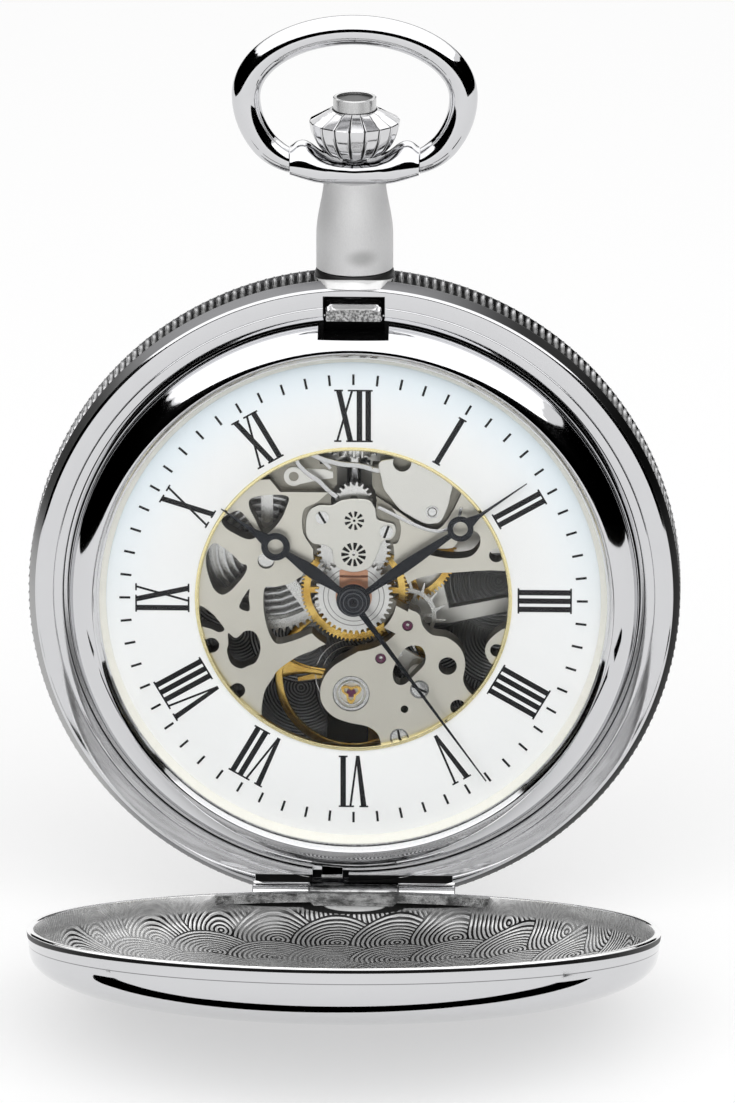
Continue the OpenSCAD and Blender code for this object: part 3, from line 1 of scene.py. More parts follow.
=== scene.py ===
import bpy
import bmesh
import math
import numpy as np
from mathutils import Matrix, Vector


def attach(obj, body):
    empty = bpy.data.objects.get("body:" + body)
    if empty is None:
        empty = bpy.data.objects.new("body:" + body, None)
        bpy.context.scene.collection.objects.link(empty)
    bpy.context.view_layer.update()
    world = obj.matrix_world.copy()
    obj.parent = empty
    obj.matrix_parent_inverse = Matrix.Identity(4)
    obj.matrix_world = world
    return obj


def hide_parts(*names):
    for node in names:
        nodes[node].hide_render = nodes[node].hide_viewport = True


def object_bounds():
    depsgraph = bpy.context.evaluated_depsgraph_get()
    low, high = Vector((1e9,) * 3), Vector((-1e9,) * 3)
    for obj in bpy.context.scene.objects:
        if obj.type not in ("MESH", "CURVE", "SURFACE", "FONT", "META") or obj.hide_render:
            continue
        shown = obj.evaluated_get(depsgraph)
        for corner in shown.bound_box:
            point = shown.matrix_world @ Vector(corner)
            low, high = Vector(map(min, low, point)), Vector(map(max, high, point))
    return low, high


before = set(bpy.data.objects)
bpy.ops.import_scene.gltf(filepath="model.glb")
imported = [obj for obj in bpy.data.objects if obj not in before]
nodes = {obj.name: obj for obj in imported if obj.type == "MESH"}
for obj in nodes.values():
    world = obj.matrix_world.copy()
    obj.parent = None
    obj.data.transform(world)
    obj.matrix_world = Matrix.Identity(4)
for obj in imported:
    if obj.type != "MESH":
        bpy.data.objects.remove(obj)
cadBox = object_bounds()
print("frame loaded,", len(nodes), "parts")

# The watch is drawn in its own plane in millimetres, as its maker would:
# x to the three, y to the twelve, z out of the dial, zero at the dial's centre.
watch = {"hang": 43.0, "hingeY": 24.0, "hingeZ": 2.8, "coverOpen": 78.5}


def toFrame(points):
    # x stays, depth is minus z, height is y less the hang, all over a thousand
    p = np.asarray(points, float)
    return np.stack([p[..., 0], -p[..., 2], p[..., 1] - watch["hang"]], -1) / 1000


def asDrawn(points):
    # left where it is drawn
    return points


def openCover(points):
    # turns closed-cover points about the front hinge: y and z of the arm go through a plane rotation
    p = np.asarray(points, float)
    a = math.radians(watch["coverOpen"])
    dy, dz = p[..., 1] + watch["hingeY"], p[..., 2] - watch["hingeZ"]
    return np.stack([p[..., 0], dy * math.cos(a) - dz * math.sin(a) - watch["hingeY"],
                     dy * math.sin(a) + dz * math.cos(a) + watch["hingeZ"]], -1)


def leanBack(y, z):
    # the plane rotation of openCover the other way, for arrays and sockets alike
    a = math.radians(watch["coverOpen"])
    return y * math.cos(a) + z * math.sin(a), z * math.cos(a) - y * math.sin(a)


def closeCover(x, y, z):
    # takes a place on the open cover back to where the shut cover has it
    armY, armZ = leanBack(y + watch["hingeY"], z - watch["hingeZ"])
    return x, armY - watch["hingeY"], armZ + watch["hingeZ"]


def placed(name, data):
    # a new object in the scene that holds the data
    made = bpy.data.objects.new(name, data)
    bpy.context.scene.collection.objects.link(made)
    return made


def aim(thing, direction):
    # its minus z looks along the direction, its y stays up
    thing.rotation_mode = "QUATERNION"
    thing.rotation_quaternion = Vector(direction).to_track_quat("-Z", "Y")


# Camera

camera = {"azimuth": 1.75, "elevation": 17.0, "distance": 1.05, "lookX": 0.00097, "lookZ": -0.0402,
          "pixelsPerMillimetre": 13.05, "photoHeight": 1103, "sensor": 36}


def setCamera():
    # stands back from the looked-at place along the two angles; the lens gives the photo's pixels to a
    # millimetre of the watch
    c = camera
    a, e = math.radians(c["azimuth"]), math.radians(c["elevation"])
    back = np.array([math.sin(a) * math.cos(e), -math.cos(a) * math.cos(e), math.sin(e)])
    data = bpy.data.cameras.new("photoCamera")
    data.sensor_width = c["sensor"]
    data.lens = c["pixelsPerMillimetre"] * c["distance"] * 1000 * c["sensor"] / c["photoHeight"]
    data.clip_start, data.clip_end = 0.05, 10
    eye = placed("photoCamera", data)
    eye.location = np.array([c["lookX"], 0, c["lookZ"]]) + back * c["distance"]
    aim(eye, -back)
    bpy.context.scene.camera = eye


setCamera()


# Shader wiring


class Wire:
    # one output socket; each operator adds the Math node of its name
    def __init__(self, graph, socket):
        self.graph, self.socket = graph, socket

    def math(self, operation, *others):
        # a Math node of that operation
        return self.graph.number(operation, self, *others)

    # the arithmetic signs, each as the Math node of that name
    def __add__(self, other):
        return self.math("ADD", other)

    def __mul__(self, other):
        return self.math("MULTIPLY", other)

    def __sub__(self, other):
        return self.math("SUBTRACT", other)

    def __rsub__(self, other):
        return self.graph.number("SUBTRACT", other, self)

    def __truediv__(self, other):
        return self.math("DIVIDE", other)

    def __rtruediv__(self, other):
        return self.graph.number("DIVIDE", other, self)

    def __pow__(self, other):
        return self.math("POWER", other)

    def __lt__(self, other):
        return self.math("LESS_THAN", other)

    def __neg__(self):
        return self.math("MULTIPLY", -1.0)

    __radd__ = __add__
    __rmul__ = __mul__

    def step(self, low, high):
        # rises smoothly from nought at low to one at high
        return self.graph.node("ShaderNodeMapRange", {"interpolation_type": "SMOOTHSTEP"},
                               {"Value": self, "From Min": low, "From Max": high})
    def wave(self, period):
        # the sine of the value, once round in a period
        return (self * (2 * math.pi / period)).math("SINE")


class Graph:
    # a node tree and the ways to add to it
    def __init__(self, tree):
        self.tree = tree

    def put(self, socket, value):
        # links a wire, or sets a number or colour
        if isinstance(value, Wire):
            self.tree.links.new(value.socket, socket)
        elif isinstance(value, (tuple, list)) and len(value) == 3 and socket.type == "RGBA":
            socket.default_value = (*value, 1)
        else:
            socket.default_value = value

    def node(self, kind, settings=None, links=None, out=0):
        # a node of any type: its settings first, then what its sockets take
        made = self.tree.nodes.new(kind)
        for name, value in (settings or {}).items():
            setattr(made, name, value)
        pairs = links.items() if isinstance(links, dict) else enumerate(links or [])
        for name, value in pairs:
            self.put(made.inputs[name], value)
        return Wire(self, made.outputs[out])

    def number(self, operation, *values):
        # a Math node on wires and numbers
        return self.node("ShaderNodeMath", {"operation": operation}, list(values))

    def lookedAt(self):
        # one for rays from the camera, off polished metal or through a crystal, nought for the rest
        path = self.node("ShaderNodeLightPath").socket.node
        kinds = ("Camera", "Glossy", "Transmission")
        return highest([Wire(self, path.outputs["Is %s Ray" % kind]) for kind in kinds])


class Finish(Graph):
    # a material with one Principled shader
    def __init__(self, name, **sockets):
        self.name, self.material = name, bpy.data.materials.new(name)
        self.material.use_nodes = True
        super().__init__(self.material.node_tree)
        self.shader = self.tree.nodes["Principled BSDF"]
        self.cache = {}
        self.feed(**sockets)

    def feed(self, **sockets):
        # what each named socket of the shader takes
        for name, value in sockets.items():
            self.put(self.shader.inputs[name.replace("_", " ")], value)

    def mix(self, factor, first, second):
        # the first colour at nought, the second at one
        return self.node("ShaderNodeMix", {"data_type": "RGBA"}, {0: factor, 6: first, 7: second}, 2)

    def place(self):
        # object coordinates in millimetres
        if "place" not in self.cache:
            where = self.node("ShaderNodeTexCoord", out="Object")
            self.cache["place"] = self.node("ShaderNodeVectorMath", {"operation": "SCALE"},
                                            {0: where, "Scale": 1000.0})
        return self.cache["place"]

    def axes(self):
        # the watch's own x, y and z in millimetres
        if "axes" not in self.cache:
            split = self.node("ShaderNodeSeparateXYZ", None, [self.place()]).socket.node
            x, down, up = [Wire(self, output) for output in split.outputs]
            self.cache["axes"] = (x, up + watch["hang"], -down)
        return self.cache["axes"]

    def coverAxes(self, turnedBack):
        # the same axes, turned back with the open cover so that its seat is level
        return closeCover(*self.axes()) if turnedBack else self.axes()

    def noise(self, perMillimetre, detail=3.0, rough=0.5, stretch=(1, 1, 1), seed=0.0):
        # clouds from nought to one
        spread = self.node("ShaderNodeMapping", None, {"Vector": self.place(), "Scale": stretch,
                                                       "Location": (seed, seed, seed)})
        return self.node("ShaderNodeTexNoise", None, {"Vector": spread, "Scale": perMillimetre,
                                                      "Detail": detail, "Roughness": rough})

    def bump(self, height, millimetres, strength):
        # leans the surface by the slope of a height
        return self.node("ShaderNodeBump", None, {"Height": height, "Distance": millimetres / 1000,
                                                  "Strength": strength})


def radius(x, y):
    # square root of the sum of squares
    return (x * x + y * y) ** 0.5


def highest(masks):
    # the larger of all the masks at each point
    found = masks[0]
    for mask in masks[1:]:
        found = found.math("MAXIMUM", mask)
    return found


def grainSpots(x, y, pitch, rowPitch, reach):
    # distance to the centre of the last laid of the overlapping spots that cover a point:
    # rows are laid upward and spots to the right, so the far corner's spot wins where it reaches
    col, row = (x / pitch).math("FLOOR"), (y / rowPitch).math("FLOOR")
    found = None
    for j, i in ((0, 0), (0, 1), (1, 0), (1, 1)):
        far = radius(x - (col + i) * pitch, y - (row + j) * rowPitch)
        if found is None:
            found = far
            continue
        covers = far < reach
        found = far * covers + found * (1 - covers)
    return found


# Finishes


def grey(level):
    # a colour with the same level of red, green and blue
    return (level, level, level)


def polishedSteel(name="polishedSteel", colour=(0.63, 0.632, 0.645), rough=0.05):
    # mirror bright: slow haze and fine upright rubbing
    f = Finish(name, Metallic=1.0)
    haze = f.noise(0.35, 4.0, 0.6)
    rub = f.noise(6.0, 2.0, 0.5, (1, 1, 0.08), 3.0)
    f.feed(Base_Color=f.mix(haze, tuple(c * 0.97 for c in colour), colour),
           Roughness=haze * 0.03 + rub * 0.02 + (rough - 0.025),
           Normal=f.bump(rub, 0.0006, 0.5))
    return f


def satinSteel():
    # blasted tube: fine grain, with a slow darker patch low on its front
    f = Finish("satinSteel", Metallic=0.6)
    x, y, z = f.axes()
    grain = f.noise(11.0, 3.0, 0.6, (1, 1, 0.5))
    cloud = f.noise(0.5, 3.0, 0.5)
    patch = radius((x - 0.6) / 1.3, (y - 26.9) / 0.8).step(1.2, 0.2) * z.step(0.5, 1.5) * 0.5
    f.feed(Base_Color=f.mix(patch, f.mix(grain, (0.58, 0.58, 0.585), (0.7, 0.7, 0.7)), (0.2, 0.2, 0.2)),
           Roughness=cloud * 0.08 + grain * 0.1 + 0.42,
           Normal=f.bump(grain, 0.02, 0.5))
    return f


def bossSteel():
    # bright collar with a painted black shadow where the tube meets it, deeper at the sides
    f = Finish("bossSteel", Metallic=0.3)
    x, y = f.axes()[:2]
    grain = f.noise(6.0, 2.0)
    # painted shadow: black above the line where the tube sits on the collar
    line = (y + x * x * 0.05).step(25.2, 25.28)
    f.feed(Base_Color=f.mix(line, f.mix(grain, grey(0.9), grey(0.97)), grey(0.008)),
           Roughness=grain * 0.05 + line * 0.3 + 0.12)
    return f


def bandSteel():
    # polished band: painted black shade lines stand in both corners of the groove inside the seat
    f = Finish("bandSteel", Metallic=1.0)
    x, y, z = f.axes()
    r = radius(x, y)
    haze = f.noise(0.4, 4.0, 0.6)
    below = z.math("ABSOLUTE").step(2.36, 2.3)
    groove = below * (r.step(21.98, 21.93) + r.step(22.2, 22.24) * r.step(22.4, 22.35))
    # painted black shade also round the catch's notch and in the gap over the hinge
    ax = x.math("ABSOLUTE")
    notch = ax.step(2.38, 2.35) * y.step(21.9, 22.0) * y.step(23.79, 23.76)
    gap = ax.step(7.62, 7.56) * y.step(-23.2, -23.14) * y.step(-22.48, -22.54)
    dark = highest([groove, notch, gap])
    chamfer = r.step(24.41, 24.45)
    # painted shade: the chamfer is mid grey at the far left, dark grey in the middle and black on the right
    edge = f.mix(x.step(-14.0, -21.0), (0.18, 0.18, 0.185), grey(0.4))
    edge = f.mix(x.step(1.0, 14.0), edge, grey(0.02))
    steel = f.mix(haze, (0.6, 0.602, 0.615), (0.64, 0.642, 0.655))
    f.feed(Base_Color=f.mix(dark, f.mix(chamfer, steel, edge), grey(0.01)),
           Roughness=haze * 0.05 + dark * 0.4 + chamfer * 0.25 + 0.05)
    return f


def coverSteel(name, turnedBack):
    # polished cover: a painted highlight makes the rim bright, a painted black line of shade lies just
    # inside it and a painted dark line of shade marks a fine crease further down the wall
    f = Finish(name, Metallic=1.0)
    x, y, z = f.coverAxes(turnedBack)
    high = z.math("ABSOLUTE")
    out = radius(x, y).step(23.3, 23.34)
    haze = f.noise(0.35, 4.0, 0.6)
    rub = f.noise(6.0, 2.0, 0.5, (1, 1, 0.08), 3.0)
    # painted highlight: the rim is near white
    rim = high.step(2.56, 2.54) * out
    width = (x.math("ABSOLUTE") / 23.0) ** 4 * 0.2 + 0.27
    # painted shade: a black line just inside the rim, wider toward the ends
    line = high.step(2.57, 2.6) * ((high - 2.57) / width).step(1.0, 0.9) * out
    # painted shade: a dark line lower on the wall
    crease = high.step(3.6, 3.63) * high.step(3.7, 3.67) * 0.6
    steel = f.mix(haze, (0.61, 0.612, 0.625), (0.63, 0.632, 0.645))
    dark = line.math("MAXIMUM", crease)
    f.feed(Base_Color=f.mix(dark, f.mix(rim, steel, grey(0.97)), grey(0.01)),
           Roughness=haze * 0.03 + rub * 0.02 + line * 0.4 + 0.025,
           Normal=f.bump(rub, 0.0006, 0.5))
    return f


def coinSteel():
    # teeth bright at the crests, with painted shade dark in the roots
    f = Finish("coinSteel", Metallic=1.0)
    x, y, z = f.axes()
    # painted shade: the roots go near black
    depth = radius(x, y).step(24.74, 24.88)
    grime = f.noise(1.2, 3.0, 0.6)
    # painted shade: darker toward the front face, most of all on the right of the twelve
    frontShade = z.step(-0.9, 0.5) * (x + y * 0.25).step(-21.0, -8.0) * (1 - x.step(19.0, 24.5) * 0.25)
    crest = f.mix(frontShade, (0.7, 0.7, 0.71), grey(0.1))
    f.feed(Base_Color=f.mix(depth, grey(0.008), crest),
           Roughness=0.34 - depth * 0.14 + grime * 0.08)
    return f


def enamelWhite():
    # white with a cool shade toward the upper edge, where the ring throws its shadow
    f = Finish("enamelWhite", Metallic=0.0)
    x, y = f.axes()[:2]
    cloud = f.noise(0.15, 2.0, 0.5)
    edge = radius(x, y).step(14.0, 19.6) * (y + x.math("ABSOLUTE") * 0.3).step(-2.0, 17.0) * 0.85
    white = f.mix(cloud, (0.93, 0.935, 0.935), grey(0.95))
    f.feed(Base_Color=f.mix(edge, white, (0.76, 0.86, 0.93)), Roughness=cloud * 0.05 + 0.35,
           Normal=f.bump(f.noise(3.0, 2.0), 0.002, 0.3), Coat_Weight=0.15, Coat_Roughness=0.1)
    return f


def plainFinish(name, metal, perMillimetre, detail, dark, light, spread, rough, **more):
    # one fine noise mixes two shades and carries the roughness
    f = Finish(name, Metallic=metal)
    grain = f.noise(perMillimetre, detail)
    f.feed(Base_Color=f.mix(grain, dark, light), Roughness=grain * spread + rough, **more)
    return f


def handBlack():
    # blackened steel with three turned lines round the hub
    f = Finish("handBlack", Metallic=1.0)
    grain = f.noise(8.0, 2.0)
    r = radius(*f.axes()[:2])
    turnedLine = (r.step(0.34, 0.37) * r.step(0.43, 0.4) + r.step(0.7, 0.73) * r.step(0.79, 0.76)
                  + r.step(0.98, 1.0) * r.step(1.06, 1.04))
    black = f.mix(grain, (0.018, 0.02, 0.024), (0.04, 0.042, 0.05))
    f.feed(Base_Color=f.mix(turnedLine, black, (0.14, 0.145, 0.16)),
           Roughness=grain * 0.15 + 0.28, Normal=f.bump(grain, 0.002, 0.3))
    return f


def wheelGold(name, colour, deep, rough=0.22):
    # warm metal in slow clouds; the arbor's end among the hands is dark
    f = Finish(name, Metallic=1.0)
    tip = f.axes()[2].step(3.3, 3.35)
    grain = f.noise(7.0, 3.0, 0.6)
    cloud = f.noise(0.6, 3.0, 0.5, (1, 1, 1), 5.0)
    f.feed(Base_Color=f.mix(tip, f.mix(cloud.step(0.35, 0.65), deep, colour), (0.02, 0.02, 0.024)),
           Roughness=grain * 0.15 + rough - 0.05,
           Normal=f.bump(grain, 0.004, 0.4))
    return f


def plateSatin(name, light, dark, rough=0.35):
    # frosted plate: fine isotropic grain over slow clouding
    f = Finish(name, Metallic=1.0)
    grain = f.noise(14.0, 3.0, 0.65)
    cloud = f.noise(0.4, 3.0, 0.5)
    f.feed(Base_Color=f.mix(grain * 0.6 + cloud * 0.4, dark, light),
           Roughness=grain * 0.12 + cloud * 0.08 + rough - 0.1, Normal=f.bump(grain, 0.012, 0.5))
    return f


def cockSteel():
    # bridge metal whose face toward the balance is painted dark as shade
    f = Finish("cockSteel", Metallic=1.0)
    # painted shade: the face toward the balance goes near black
    front = f.axes()[2].step(-3.7, -3.5)
    grain = f.noise(14.0, 3.0, 0.65)
    metal = f.mix(grain, (0.7, 0.69, 0.65), (0.86, 0.85, 0.81))
    f.feed(Base_Color=f.mix(front, metal, (0.04, 0.038, 0.034)),
           Roughness=grain * 0.12 + 0.3, Normal=f.bump(grain, 0.012, 0.5))
    return f


def clearGlass():
    # thin clear dome: what is behind shows straight through, the face reflects by its angle
    f = Finish("clearGlass")
    seen = f.node("ShaderNodeBsdfTransparent", None, {"Color": (0.995, 0.998, 0.998)})
    smear = f.noise(0.2, 2.0)
    gloss = f.node("ShaderNodeBsdfGlossy", None, {"Color": (1, 1, 1), "Roughness": 0.02})
    edge = f.node("ShaderNodeFresnel", None, {"IOR": 1.45})
    factor = edge * 0.2 + smear * 0.003
    both = f.node("ShaderNodeMixShader", None, [factor, seen, gloss])
    f.tree.links.new(both.socket, f.tree.nodes["Material Output"].inputs["Surface"])
    f.tree.nodes.remove(f.shader)
    return f


def coverGrain(name, turnedBack, pitch, reach, ringPitch, light, dark, seed=0.0, metal=1.0):
    # spotted graining: fine rings about the centre of each overlapping spot, spread a little down the wall
    f = Finish(name, Metallic=metal)
    px, py, pz = f.coverAxes(turnedBack)
    ax, high = px.math("ABSOLUTE"), pz.math("ABSOLUTE")
    fold = (7.9 - high) / (radius(px, py) + 0.5) * 0.8 + 1
    far = grainSpots(px * fold + 60.0 + seed, py * fold + 60.0, pitch, pitch * 0.86, reach)
    jitter = f.noise(1.5, 3.0)
    rings = (far + jitter * 0.12).wave(ringPitch)
    fine = (far + jitter * 0.05).wave(ringPitch * 0.37)
    height = rings * 0.6 + fine * 0.2
    # painted sheen: smooth bright patches lie between sharply ringed ones
    patch = f.noise(0.16, 2.0, 0.5, (1, 1, 1), seed + 4.0).step(0.46, 0.6)
    tone = ((rings * 0.5 + 0.5) * (jitter * 0.5 + 0.75)).step(0.32, 0.62)
    tone = tone * (1 - patch * 0.55) + patch * 0.4
    # painted shade: the wall under the hinge plate is black but for a painted highlight in a bright half
    # round, and brushed plain elsewhere
    # painted shade: darker toward the hinge, most in the middle
    shade = py.step(-3.0, -17.0) * ax.step(19.0, 3.0) * 0.5
    wide = radius(px / 9.6, (high - 3.1) / 0.62).step(1.05, 0.95)
    tall = radius(px / 4.1, (high - 3.5) / 0.72).step(1.05, 0.95)
    under = highest([wide, tall]) * py.step(-12.0, -14.0)
    moonHighlight = radius((px - 0.1) / 2.3, (high - 3.52) / 0.46).step(1.06, 0.96) * under
    wall = high.step(4.0, 3.6) * (1 - under)
    base = f.mix(tone * (1 - shade), dark, light)
    base = f.mix(wall, base, f.mix(jitter, grey(0.3), grey(0.62)))
    base = f.mix(moonHighlight, f.mix(under, base, grey(0.006)), grey(0.75))
    f.feed(Base_Color=base, Roughness=0.26 - rings * 0.05 + under * 0.4,
           Normal=f.bump(height * (1 - wall) * (1 - under), 0.035, 0.7))
    return f


def brushedPlate():
    # drawn along x, with dark blots
    f = Finish("brushedPlate", Metallic=1.0)
    grain = f.noise(6.0, 3.0, 0.6, (0.05, 1, 1))
    blot = f.noise(1.1, 4.0, 0.7, (0.6, 1, 1), 2.0).step(0.35, 0.62)
    f.feed(Base_Color=f.mix(blot, grey(0.1), f.mix(grain, grey(0.42), grey(0.68))),
           Roughness=grain * 0.15 + 0.2, Normal=f.bump(grain, 0.006, 0.4))
    return f


crownShape = {
    "ribs": 18, "grooveDepth": 0.13, "start": -5.0, "stepsPerRib": 26,
    "outside": [(1.9, 34.46), (2.2, 34.5), (2.5, 34.75), (2.8, 35.1), (3.02, 35.45), (3.2, 35.8),
                (3.33, 36.15), (3.42, 36.5), (3.46, 36.8), (3.47, 36.97), (3.44, 37.05), (3.1, 37.24),
                (2.6, 37.52), (2.1, 37.8), (1.82, 37.9)],
    "inside": [(1.72, 37.9), (1.70, 37.7), (1.70, 35.96), (0.92, 35.96), (0.92, 34.46)],
    "room": [(0, 34.3), (2.0, 34.3), (2.56, 34.6), (3.1, 35.3), (3.46, 36.0), (3.6, 36.9), (0, 36.9)]}


def crownSteel():
    # polished facets, with painted shade dark in the grooves between them
    f = Finish("crownSteel", Metallic=1.0)
    x, y, z = f.axes()
    ribs = crownShape["ribs"]
    around = x.math("ARCTAN2", z) * (ribs / (2 * math.pi)) + (20 - crownShape["start"] * ribs / 360)
    edge = (around.math("FRACT") - 0.5).math("ABSOLUTE")
    foot = y.step(36.9, 35.2)
    # painted shade: black in the grooves, wider toward the foot
    groove = edge.step(0.45, 0.475) * y.step(37.95, 37.85)
    groove = groove.math("MAXIMUM", edge.step(0.37, 0.42) * foot)
    haze = f.noise(2.0, 3.0)
    f.feed(Base_Color=f.mix(groove, f.mix(haze, (0.6, 0.6, 0.61), (0.68, 0.68, 0.69)), grey(0.01)),
           Roughness=haze * 0.06 + groove * 0.3 + 0.07)
    return f


def buttonSteel():
    # turned grain, with painted shade darker in the dish of the face
    f = Finish("buttonSteel", Metallic=1.0)
    x, y, z = f.axes()
    grain = f.noise(8.0, 3.0, 0.6, (1, 1, 0.2))
    # painted shade in the dish
    dish = y.step(38.6, 38.64) * radius(x, z).step(1.39, 1.36) * y.step(38.75, 38.7)
    f.feed(Base_Color=f.mix(dish, f.mix(grain, grey(0.5), grey(0.68)), grey(0.1)),
           Roughness=grain * 0.1 + dish * 0.15 + 0.22, Normal=f.bump(grain, 0.01, 0.3))
    return f


# the plate's slotted screws: place and turn of the slot in degrees
screwSlots = [(-2.4, 6.4, 30), (2.5, 5.3, -20), (5.05, -7.3, 65), (3.5, -11.2, 10)]


def slottedSteel():
    # polished screw heads with a slot painted dark as shade: distance across the slot's line, within the
    # head's radius
    f = Finish("slottedSteel", Metallic=1.0)
    x, y = f.axes()[:2]
    slots, rims = [], []
    for sx, sy, degrees in screwSlots:
        a = math.radians(degrees)
        dx, dy = x - sx, y - sy
        near = radius(dx, dy)
        across = (dx * math.cos(a) + dy * math.sin(a)).math("ABSOLUTE")
        # painted shade in the slot
        slots.append(across.step(0.11, 0.08) * near.step(0.66, 0.62))
        rims.append(near.step(0.56, 0.6) * near.step(0.75, 0.7))
    slot, rim = highest(slots), highest(rims)
    grain = f.noise(6.0, 2.0)
    head = f.mix(grain, grey(0.6), (0.8, 0.8, 0.79))
    f.feed(Base_Color=f.mix(highest([slot, rim * 0.55]), head, grey(0.03)),
           Roughness=grain * 0.1 + slot * 0.3 + 0.2)
    return f


def copperOver(f, x, y, grain, under):
    # a copper tongue above the hands' axis and a thin ring round it: light and dark by height
    ring = radius(x, y).step(1.4, 1.37)
    inside = x.math("ABSOLUTE").step(1.12, 1.06) * y.step(0.0, 0.1)
    tongue = inside * radius(x / 1.5, y - 1.1).step(1.24, 1.2)
    band = highest([(y - 1.62).math("ABSOLUTE").step(0.12, 0.05), y.step(2.1, 2.26)]) * tongue
    copper = f.mix(band, f.mix(grain, (0.6, 0.31, 0.19), (0.74, 0.42, 0.28)), (0.16, 0.07, 0.04))
    return f.mix(highest([ring, tongue]), under, copper)


def hourSteel():
    # turned rings about the hands' axis
    f = Finish("hourSteel", Metallic=0.8)
    x, y = f.axes()[:2]
    r = radius(x, y)
    grain = f.noise(8.0, 2.0)
    cuts = r.step(2.28, 2.3) * r.step(2.37, 2.35) + r.step(1.93, 1.95) * r.step(2.01, 1.99)
    steel = f.mix(cuts, f.mix(grain, (0.72, 0.715, 0.7), (0.86, 0.855, 0.84)), (0.3, 0.29, 0.28))
    f.feed(Base_Color=copperOver(f, x, y, grain, steel),
           Roughness=grain * 0.1 + 0.3, Normal=f.bump(r.wave(0.12), 0.004, 0.4))
    return f


def washerCopper():
    # the copper tongue on a pale washer
    f = Finish("washerCopper", Metallic=0.85)
    grain = f.noise(8.0, 2.0)
    steel = f.mix(grain, (0.74, 0.735, 0.72), (0.86, 0.855, 0.84))
    f.feed(Base_Color=copperOver(f, *f.axes()[:2], grain, steel), Roughness=grain * 0.1 + 0.28)
    return f


def catchSteel():
    # rough front: coarse speckle between dark and bright
    f = Finish("catchSteel", Metallic=1.0)
    speck = f.noise(5.0, 4.0, 0.7)
    f.feed(Base_Color=f.mix(speck.step(0.38, 0.62), grey(0.12), grey(0.62)),
           Roughness=speck * 0.2 + 0.3, Normal=f.bump(speck, 0.05, 0.6))
    return f


# each pinion painted as dark shade on the bridge: centre, leaves, inner and outer radius, half share of a
# leaf's pitch
pinionShades = [(0.0, 3.45, 11, 0.3, 0.98, 0.3), (0.05, 6.15, 9, 0.22, 0.78, 0.26)]


def bridgePierced():
    # frosted bridge with painted shade in the shape of the leaves of two pinions: wedges round each centre
    f = Finish("bridgePierced", Metallic=0.85)
    x, y = f.axes()[:2]
    grain = f.noise(14.0, 3.0, 0.65)
    marks = []
    for cx, cy, count, inner, outer, share in pinionShades:
        dx, dy = x - cx, y - cy
        near = radius(dx, dy)
        turn = (dx.math("ARCTAN2", dy) * (count / (2 * math.pi)) + 20.25).math("FRACT")
        wedge = (turn - 0.5).math("ABSOLUTE").step(share + 0.03, share - 0.03)
        body = near.step(inner, inner + 0.05) * near.step(outer, outer - 0.06)
        leaf = wedge * body * (near.step(outer * 0.35, outer * 0.5) * 0.6 + 0.4)
        marks.append(highest([leaf, near.step(0.12, 0.09)]))
    dark = highest(marks).step(0.35, 0.65)
    f.feed(Base_Color=f.mix(dark, f.mix(grain, (0.66, 0.65, 0.6), (0.84, 0.83, 0.78)),
                            (0.015, 0.014, 0.013)),
           Roughness=grain * 0.12 + dark * 0.2 + 0.32, Normal=f.bump(grain - dark * 1.5, 0.012, 0.5))
    return f


# every finish, under the slot of the kept model that it fills
finishes = {
    "polished_steel": [
        polishedSteel(), polishedSteel("barSteel", grey(0.93), 0.08), coverSteel("coverSteel", True),
        coverSteel("rearSteel", False), catchSteel(), bandSteel(), bossSteel(), coinSteel(), satinSteel(),
        coverGrain("coverGrain", True, 4.9, 3.9, 0.4, grey(0.97), grey(0.008), 0.0, 0.5),
        coverGrain("rearGrain", False, 5.2, 4.1, 0.26, (0.85, 0.85, 0.86), grey(0.035), 1.7, 0.6),
        brushedPlate(), crownSteel(), buttonSteel()],
    "screw_steel": [slottedSteel(), polishedSteel("screwSteel", (0.72, 0.73, 0.75), 0.14)],
    "dark_steel": [polishedSteel("darkSteel", (0.35, 0.35, 0.36), 0.2)],
    "wheel_steel": [hourSteel(), plateSatin("wheelSteel", (0.8, 0.795, 0.78), (0.62, 0.615, 0.6), 0.26)],
    "spring_steel": [plateSatin("springSteel", grey(0.72), (0.46, 0.46, 0.465), 0.24)],
    "nickel": [
        plateSatin("plateNickel", (0.82, 0.795, 0.72), (0.64, 0.615, 0.54), 0.42),
        # painted shade for cut walls and for the floors of sunk recesses
        plateSatin("plateWallShade", (0.2, 0.185, 0.15), (0.08, 0.075, 0.06), 0.45),
        plateSatin("plateFloorShade", (0.42, 0.4, 0.35), (0.26, 0.25, 0.21), 0.4),
        plateSatin("bridgeNickel", (0.86, 0.85, 0.81), (0.68, 0.67, 0.63), 0.34),
        bridgePierced(),
        cockSteel()],
    "gold": [wheelGold("gold", (0.95, 0.66, 0.2), (0.72, 0.44, 0.1)),
             plainFinish("paleGold", 1.0, 5.0, 2.0, (0.86, 0.74, 0.38), (0.95, 0.86, 0.52), 0.1, 0.16)],
    "copper": [washerCopper()],
    "ruby": [plainFinish("rubyRed", 0.0, 2.0, 2.0, (0.06, 0.01, 0.035), (0.13, 0.02, 0.07),
                         0.04, 0.1, Coat_Weight=0.3)],
    "enamel": [enamelWhite()],
    "cream_ring": [plainFinish("creamRing", 0.0, 4.0, 3.0, (0.86, 0.84, 0.76), (0.92, 0.905, 0.84),
                               0.1, 0.35)],
    "hand_black": [handBlack(), plainFinish("printBlack", 0.0, 12.0, 2.0, (0.006, 0.006, 0.007),
                                            (0.014, 0.014, 0.016), 0.15, 0.5, Specular_IOR_Level=0.15)],
    "gasket": [plainFinish("gasketBlack", 0.0, 10.0, 3.0, grey(0.012), grey(0.03), 0.2, 0.5)],
    "crystal": [clearGlass()],
}
materials = {f.name: f.material for group in finishes.values() for f in group}

